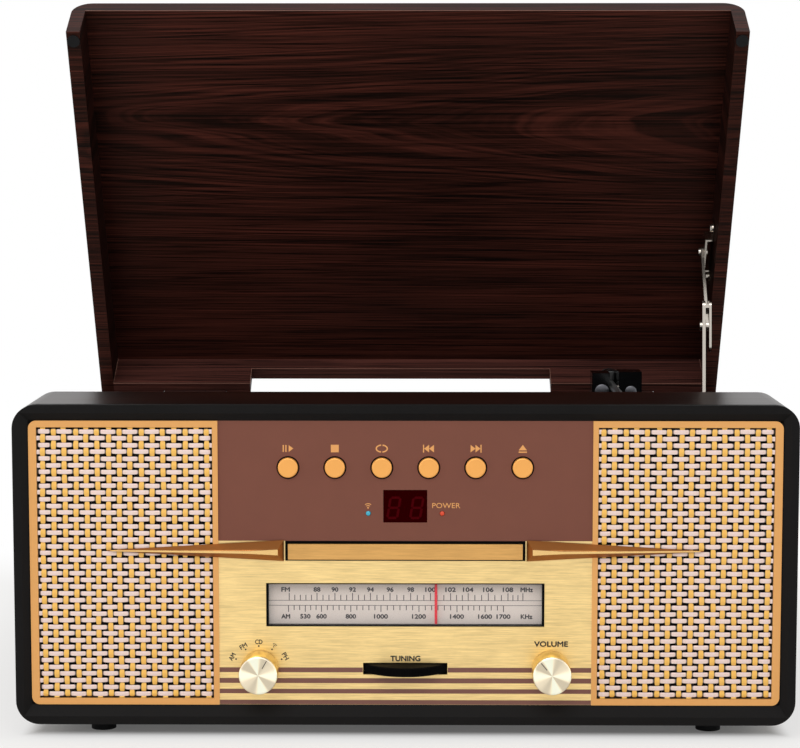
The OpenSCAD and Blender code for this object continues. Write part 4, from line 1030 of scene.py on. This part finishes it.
# %% [markdown]
# The wheel lies flat behind its slot, and only its milled rim shows. A turned disc gets twice as
# many steps as teeth, and every second step of its rim is pulled in a little.
# %% Tuning wheel
low, high = span("tuning_wheel")
wheel_y = (low.y + high.y) / 2
TEETH, WHEEL_R, RIM_HEIGHT, TOOTH_DEPTH = 200, 32, 6.2, 0.011
bottom, top = low.z, low.z + RIM_HEIGHT
profile = [(0, bottom), (30.4, bottom), (31.4, bottom + 0.3), (WHEEL_R, bottom + 1.0),
           (WHEEL_R, top - 1.0), (31.4, top - 0.3), (30.4, top), (8, top), (8, top + 0.4),
           (3, top + 0.4), (3, high.z), (0, high.z)]
points, faces = turned_mesh(profile, (0, wheel_y, 0), "z", TEETH * 2)
for i, (px, py, pz) in enumerate(points):
    if math.hypot(px, py - wheel_y) > WHEEL_R - 0.1:
        step = round(math.atan2(py - wheel_y, px) / math.tau * TEETH * 2)
        k = 1 - (TOOTH_DEPTH if step % 2 else 0)
        points[i] = (px * k, wheel_y + (py - wheel_y) * k, pz)
wheel = from_faces("tuning_wheel_milled", points, faces, wheel_black, "tuning_wheel", 30)
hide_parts("tuning_wheel")
print("tuning wheel with", TEETH, "teeth")

# %% [markdown]
# ## The record deck
# Under the lid a felt mat lies on a cast platter, with the bright spindle through both. The
# mat is a sheet of felt cut to a disc.
# %% Felt mat and spindle
MAT = [(4.6, 180.05), (4.6, 181.6), (4.9, 181.85), (60, 181.95), (136.6, 181.9),
       (137.6, 181.6), (137.9, 181.0), (137.6, 180.05)]
PIN = [(0, 195), (1.4, 194.85), (2.3, 194.4), (3.1, 193.3), (3.62, 192.2), (3.62, 182.2),
       (4.25, 182.0), (4.25, 179.9), (0, 179.9)]
low, high = span("platter")
centre = (low.x + high.x) / 2, (low.y + high.y) / 2, 0
mat = turned("felt_slip_mat", MAT, centre, "z", felt, "platter", 128, True)
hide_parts("slip_mat")
turned("record_spindle_pin", PIN, centre, "z", bright_nickel, "platter", 48)
print("mat and spindle at", [round(v, 1) for v in centre])

# %% [markdown]
# The tonearm is a drawn tube with a counterweight on its tail and a moulded head shell that
# holds the pickup. Each is its own mesh on the tonearm's body, so they swing and lift as one.
# %% Tube, pin and counterweight
ARM_X, ARM_Y, ARM_Z, TIP_Y = 158, 325, 193, 110
arm_parts = []


def arm_piece(name, points, faces, material, smooth=40):
    piece = from_faces(name, points, faces, material, "tonearm", smooth)
    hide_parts("tonearm")
    arm_parts.append(name)


tube = [(ARM_X, y, ARM_Z) for y in (TIP_Y + 30, TIP_Y + 31, TIP_Y + 40, 230, 342, 354.6, 355)]
arm_piece("tonearm_tube", *tube_mesh(tube, [2.2, 2.6, 2.95, 2.95, 2.95, 2.95, 2.4], 28),
          satin_alloy)
arm_piece("tonearm_pivot_pin", *turned_mesh([(0, -13.4), (1.45, -13.4), (1.45, 17.4),
                                             (0, 17.4)], (ARM_X, ARM_Y, ARM_Z), "x", 24),
          bright_nickel)
WEIGHT = [(0, 343.1), (9.8, 343.1), (10.6, 343.5), (10.95, 344.3), (10.95, 347), (10.3, 347.4),
          (10.3, 348.2), (10.95, 348.6), (10.95, 358), (10.3, 358.4), (10.3, 359.2),
          (10.95, 359.6), (10.95, 361.8), (10.4, 362.6), (9.6, 362.9), (3.2, 362.9), (2.6, 362.2),
          (0, 362.2)]
arm_piece("tonearm_counterweight", *turned_mesh(WEIGHT, (ARM_X, 0, ARM_Z), "y", 64), gloss_black)
print("tube, pin and weight lie at height", ARM_Z)

# %% Head shell and pickup
shell = [(-7.9, TIP_Y - 3), (-7.2, TIP_Y - 5.2), (-5.6, TIP_Y - 5.9), (5.6, TIP_Y - 5.9),
         (7.2, TIP_Y - 5.2), (7.9, TIP_Y - 3), (7.9, TIP_Y + 16), (3.6, TIP_Y + 33.9),
         (-3.6, TIP_Y + 33.9), (-7.9, TIP_Y + 16)]
n = len(shell)
points = [(ARM_X + a * k, b, z) for z, k in ((189.1, 0.93), (189.6, 1), (191.4, 1), (191.95, 0.9))
          for a, b in shell]
faces = [list(range(n))[::-1], [3 * n + i for i in range(n)]] + ring_faces(4, n)
arm_piece("tonearm_head_shell", points, faces, moulded_black, 30)
lift = [(ARM_X + 6.5, TIP_Y + 0.8, 190.5), (ARM_X + 10, TIP_Y + 0.6, 190.6),
        (ARM_X + 13, TIP_Y, 191.1), (ARM_X + 14.9, TIP_Y - 1.2, 191.4)]
arm_piece("tonearm_finger_lift", *tube_mesh(lift, [0.8, 0.75, 0.75, 0.7], 12), bright_nickel)
pickup = [(-6.8, TIP_Y - 3.4), (6.8, TIP_Y - 3.4), (6.8, TIP_Y + 11.8), (-6.8, TIP_Y + 11.8)]
points = [(ARM_X + a * k, b if z > 185 else b * 0.5 + (TIP_Y + 4) * 0.5, z)
          for z, k in ((184.85, 0.72), (186.2, 1), (189.1, 1)) for a, b in pickup]
faces = [[3, 2, 1, 0], [8, 9, 10, 11]] + ring_faces(3, 4)
arm_piece("tonearm_pickup", points, faces, gloss_black, 25)
# The stylus takes the red lamp's finish, so it glows faintly though it is no lamp: painted light.
arm_piece("tonearm_stylus", *turned_mesh([(0, 182.35), (0.25, 182.7), (0.5, 184), (0.9, 185),
                                          (0, 185.1)], (ARM_X, TIP_Y, 0), "z", 16), red_lamp)
print("tonearm made of", arm_parts)

# %% Bearing caps and softened edges
# The caps' metal is given a dark grey that stands in for the shade they sit in: painted shade.
bearing_cap = finish("bearing_cap", FINE_GRAIN, rgb(84, 84, 88), 0.00002, Depth=0.3,
                     Scale=900, Gloss=0.35, shader=METAL)
caps = [turned_mesh([(0, 313.1), (r - 0.8, 313.1), (r, 313.5), (r, 314.2), (0, 314.2)],
                    (x, 0, z), "y", 40) for x, z, r in ((148.6, 190.6, 5.4),
                                                        (170.6, 190.4, 4.4))]
points, faces = join_parts(caps)
from_faces("gimbal_bearing_caps", points, faces, bearing_cap, "tonearm_gimbal")
for name, width in {"tonearm_gimbal": 1.6, "tonearm_base": 0.8, "arm_rest": 0.7,
                    "speed_lever": 0.6}.items():
    soften(name, width, 3)
print("bearing caps:", len(caps))

# %% [markdown]
# The three speeds lie flat on the deck. The letters are made upright, so their points are laid
# down here: height becomes depth, and what faced the front faces up.
# %% Speeds printed beside their lever
deck_top = span("deck_plate")[1].z


def flat_letters(text, x, y, width, height):
    """Letters lying on the deck, read from the front."""
    points, faces = letters(text, x, y, width, height, y=0)
    return [(a, c, deck_top - b) for a, b, c in points], faces


points, faces = join_parts([flat_letters("33", 185.2, 146.5, 4.6, 3), flat_letters(
    "45", 195.5, 149.5, 4.6, 3), flat_letters("78", 205.8, 146.5, 4.6, 3)])
from_faces("speed_numbers", points, faces, pale_print, "cabinet")
print("speeds printed on the deck at height", round(deck_top, 1))

# %% [markdown]
# ## The back
# Two phono sockets have a nickel barrel in a coloured ring, white for left and red for right,
# and the input beside them takes a small plug. The rings and the words are what a hand looks
# for behind a shelf, so they are made too.
# %% Sockets, rings and words
ring_white = finish("socket_ring_white", FINE_GRAIN, rgb(222, 220, 214), 0.00001, Depth=0.08,
                    Gloss=0.35)
ring_red = finish("socket_ring_red", FINE_GRAIN, rgb(190, 36, 30), 0.00001, Depth=0.08,
                  Gloss=0.35)
SOCKET_RING = [(4.3, 407.02), (4.3, 408.6), (5.9, 408.6), (6.3, 408.2), (6.4, 407.02)]
BARREL = [(4.2, 407.1), (4.2, 415.6), (4.0, 416.0), (1.75, 416.0), (1.6, 415.8), (1.6, 407.1)]
COLLAR = [(1.75, 408.4), (1.9, 408.62), (3.6, 408.62), (4.0, 408.4), (4.0, 407.2),
          (1.75, 407.2)]
LEFT_X, RIGHT_X, AUX_X, MAINS_X, SOCKET_Z = 122, 104, 138, 162, 67
for name, profile, x, material in (
        ("line_out_ring_left", SOCKET_RING, LEFT_X, ring_white),
        ("line_out_barrel_left", BARREL, LEFT_X, bright_nickel),
        ("line_out_ring_right", SOCKET_RING, RIGHT_X, ring_red),
        ("line_out_barrel_right", BARREL, RIGHT_X, bright_nickel),
        ("input_collar", COLLAR, AUX_X, bright_nickel)):
    turned(name, profile, (x, 0, SOCKET_Z), "y", material, "cabinet", 40, True)


def back_words(name, words, y):
    parts = []
    for text, x, z, width, height in words:
        points, faces = letters(text, -x, z, width, height, y=0)
        parts.append(([(-a, y - b, c) for a, b, c in points], faces))
    points, faces = join_parts(parts)
    from_faces(name, points, faces, pale_print, "cabinet")


back_words("back_words", [
    ("R", RIGHT_X, 75.6, 2.2, 2.6), ("L", LEFT_X, 75.6, 1.9, 2.6),
    ("LINE OUT", (LEFT_X + RIGHT_X) / 2, 56.5, 19, 2.8), ("AUX IN", AUX_X, 56.5, 11, 2.8),
    ("AC IN", MAINS_X, 56.5, 10, 2.8)], 407)
print("back done")

# %% [markdown]
# ## Studio: camera, light and floor
# The camera was fitted to the straight edges of the cabinet, so it stands where the
# photographer's did. The light is that of a white tent: even light from all round, with one
# large soft lamp in front above and smaller ones at the sides for the gloss on the metal.
# %% Camera
camera = bpy.data.objects.new("camera", bpy.data.cameras.new("camera"))
bpy.context.scene.collection.objects.link(camera)
bpy.context.scene.camera = camera
camera.data.sensor_width = 36
camera.data.lens = 101.745
camera.data.clip_end = 50
camera.location = at(9.0, -1408.6, 373.2)
camera.rotation_euler = (math.radians(90) - 0.098, 0, math.radians(0.5))
print("camera at", [round(v, 3) for v in camera.location])

# %% [markdown]
# The lamps are large, so shadows are soft and metal gets broad highlights. They and the world
# light the set at a plain level. The world is white only where it is seen, by the camera or in
# a reflection or through glass, which a mix by the kind of ray does.
# %% Lamps
def lamp(name, place, target, size, power):
    data = bpy.data.lights.new(name, "AREA")
    data.shape = "RECTANGLE"
    data.size, data.size_y = size
    data.energy = power
    made = bpy.data.objects.new(name, data)
    made.location = place
    made.rotation_euler = (Vector(target) - Vector(place)).to_track_quat("-Z", "Y").to_euler()
    bpy.context.scene.collection.objects.link(made)


lamp("front_above", (-0.3, -1.7, 1.7), (0, 0, 0.15), (1.8, 1.2), 20)
lamp("left_side", (-1.9, -0.9, 0.7), (0, 0, 0.2), (0.9, 1.4), 8)
lamp("right_side", (1.9, -0.9, 0.7), (0, 0, 0.2), (0.9, 1.4), 6)
lamp("behind_above", (0, 1.5, 1.7), (0, 0.1, 0.2), (1.6, 0.8), 2)
print("lamps:", [light.name for light in bpy.data.lights])

# %% White backdrop
def seen_white(tree, lit, white):
    """A shader that is white where the camera sees it, also mirrored or through glass."""
    path = put(tree, "ShaderNodeLightPath").outputs
    seen = path["Is Camera Ray"]
    for ray in ("Is Glossy Ray", "Is Transmission Ray"):
        seen = calc(tree, "MAXIMUM", seen, path[ray])
    return put(tree, "ShaderNodeMixShader", {0: seen, 1: lit, 2: white}).outputs[0]


world = bpy.data.worlds.new("white_tent")
bpy.context.scene.world = world
world.use_nodes = True
tree = world.node_tree
tree.nodes.clear()
ambient = put(tree, "ShaderNodeBackground", {"Color": (1, 0.985, 0.96, 1), "Strength": 0.52})
bright = put(tree, "ShaderNodeBackground", {"Color": (1, 1, 1, 1), "Strength": 1.0})
tree.links.new(seen_white(tree, ambient.outputs[0], bright.outputs[0]),
               put(tree, "ShaderNodeOutputWorld").inputs[0])
print("world", world.name, "with", len(tree.nodes), "nodes")

# %% [markdown]
# The floor is one pale sheet, and shows white the same way. A mask by the distance from the
# set's outline keeps the lit floor near it, with its shadow, and turns it to white away from it.
# %% Floor
SET_HALF_WIDE, SET_HALF_DEEP = 0.2475, 0.2025
floor_mesh = bpy.data.meshes.new("floor")
floor_mesh.from_pydata([(-6, -4, 0), (6, -4, 0), (6, 8, 0), (-6, 8, 0)], [], [[0, 1, 2, 3]])
floor = bpy.data.objects.new("floor", floor_mesh)
bpy.context.scene.collection.objects.link(floor)
pale = bpy.data.materials.new("pale_floor")
pale.use_nodes = True
tree = pale.node_tree
tree.nodes.clear()
matt = put(tree, "ShaderNodeBsdfDiffuse", {"Color": rgb(240, 238, 235)})
ground = split(tree, put(tree, "ShaderNodeTexCoord").outputs["Object"])
beside, before = [calc(tree, "SUBTRACT", calc(tree, "ABSOLUTE", ground[k]), half)
                  for k, half in ((0, SET_HALF_WIDE), (1, SET_HALF_DEEP))]
reach = calc(tree, "MAXIMUM", beside, before)
away = calc(tree, "ADD", window(tree, reach, -0.0135, 0.002, 0.1, 0.6),
            window(tree, reach, 0.0, 0.3, 0.0, 0.4))
white = put(tree, "ShaderNodeEmission", {"Color": (1, 1, 1, 1), "Strength": 1.0})
lifted = put(tree, "ShaderNodeMixShader", {0: away, 1: matt.outputs[0], 2: white.outputs[0]})
tree.links.new(seen_white(tree, matt.outputs[0], lifted.outputs[0]),
               put(tree, "ShaderNodeOutputMaterial").inputs[0])
floor_mesh.materials.append(pale)
bpy.context.scene.view_settings.view_transform = "Standard"
print("studio ready")
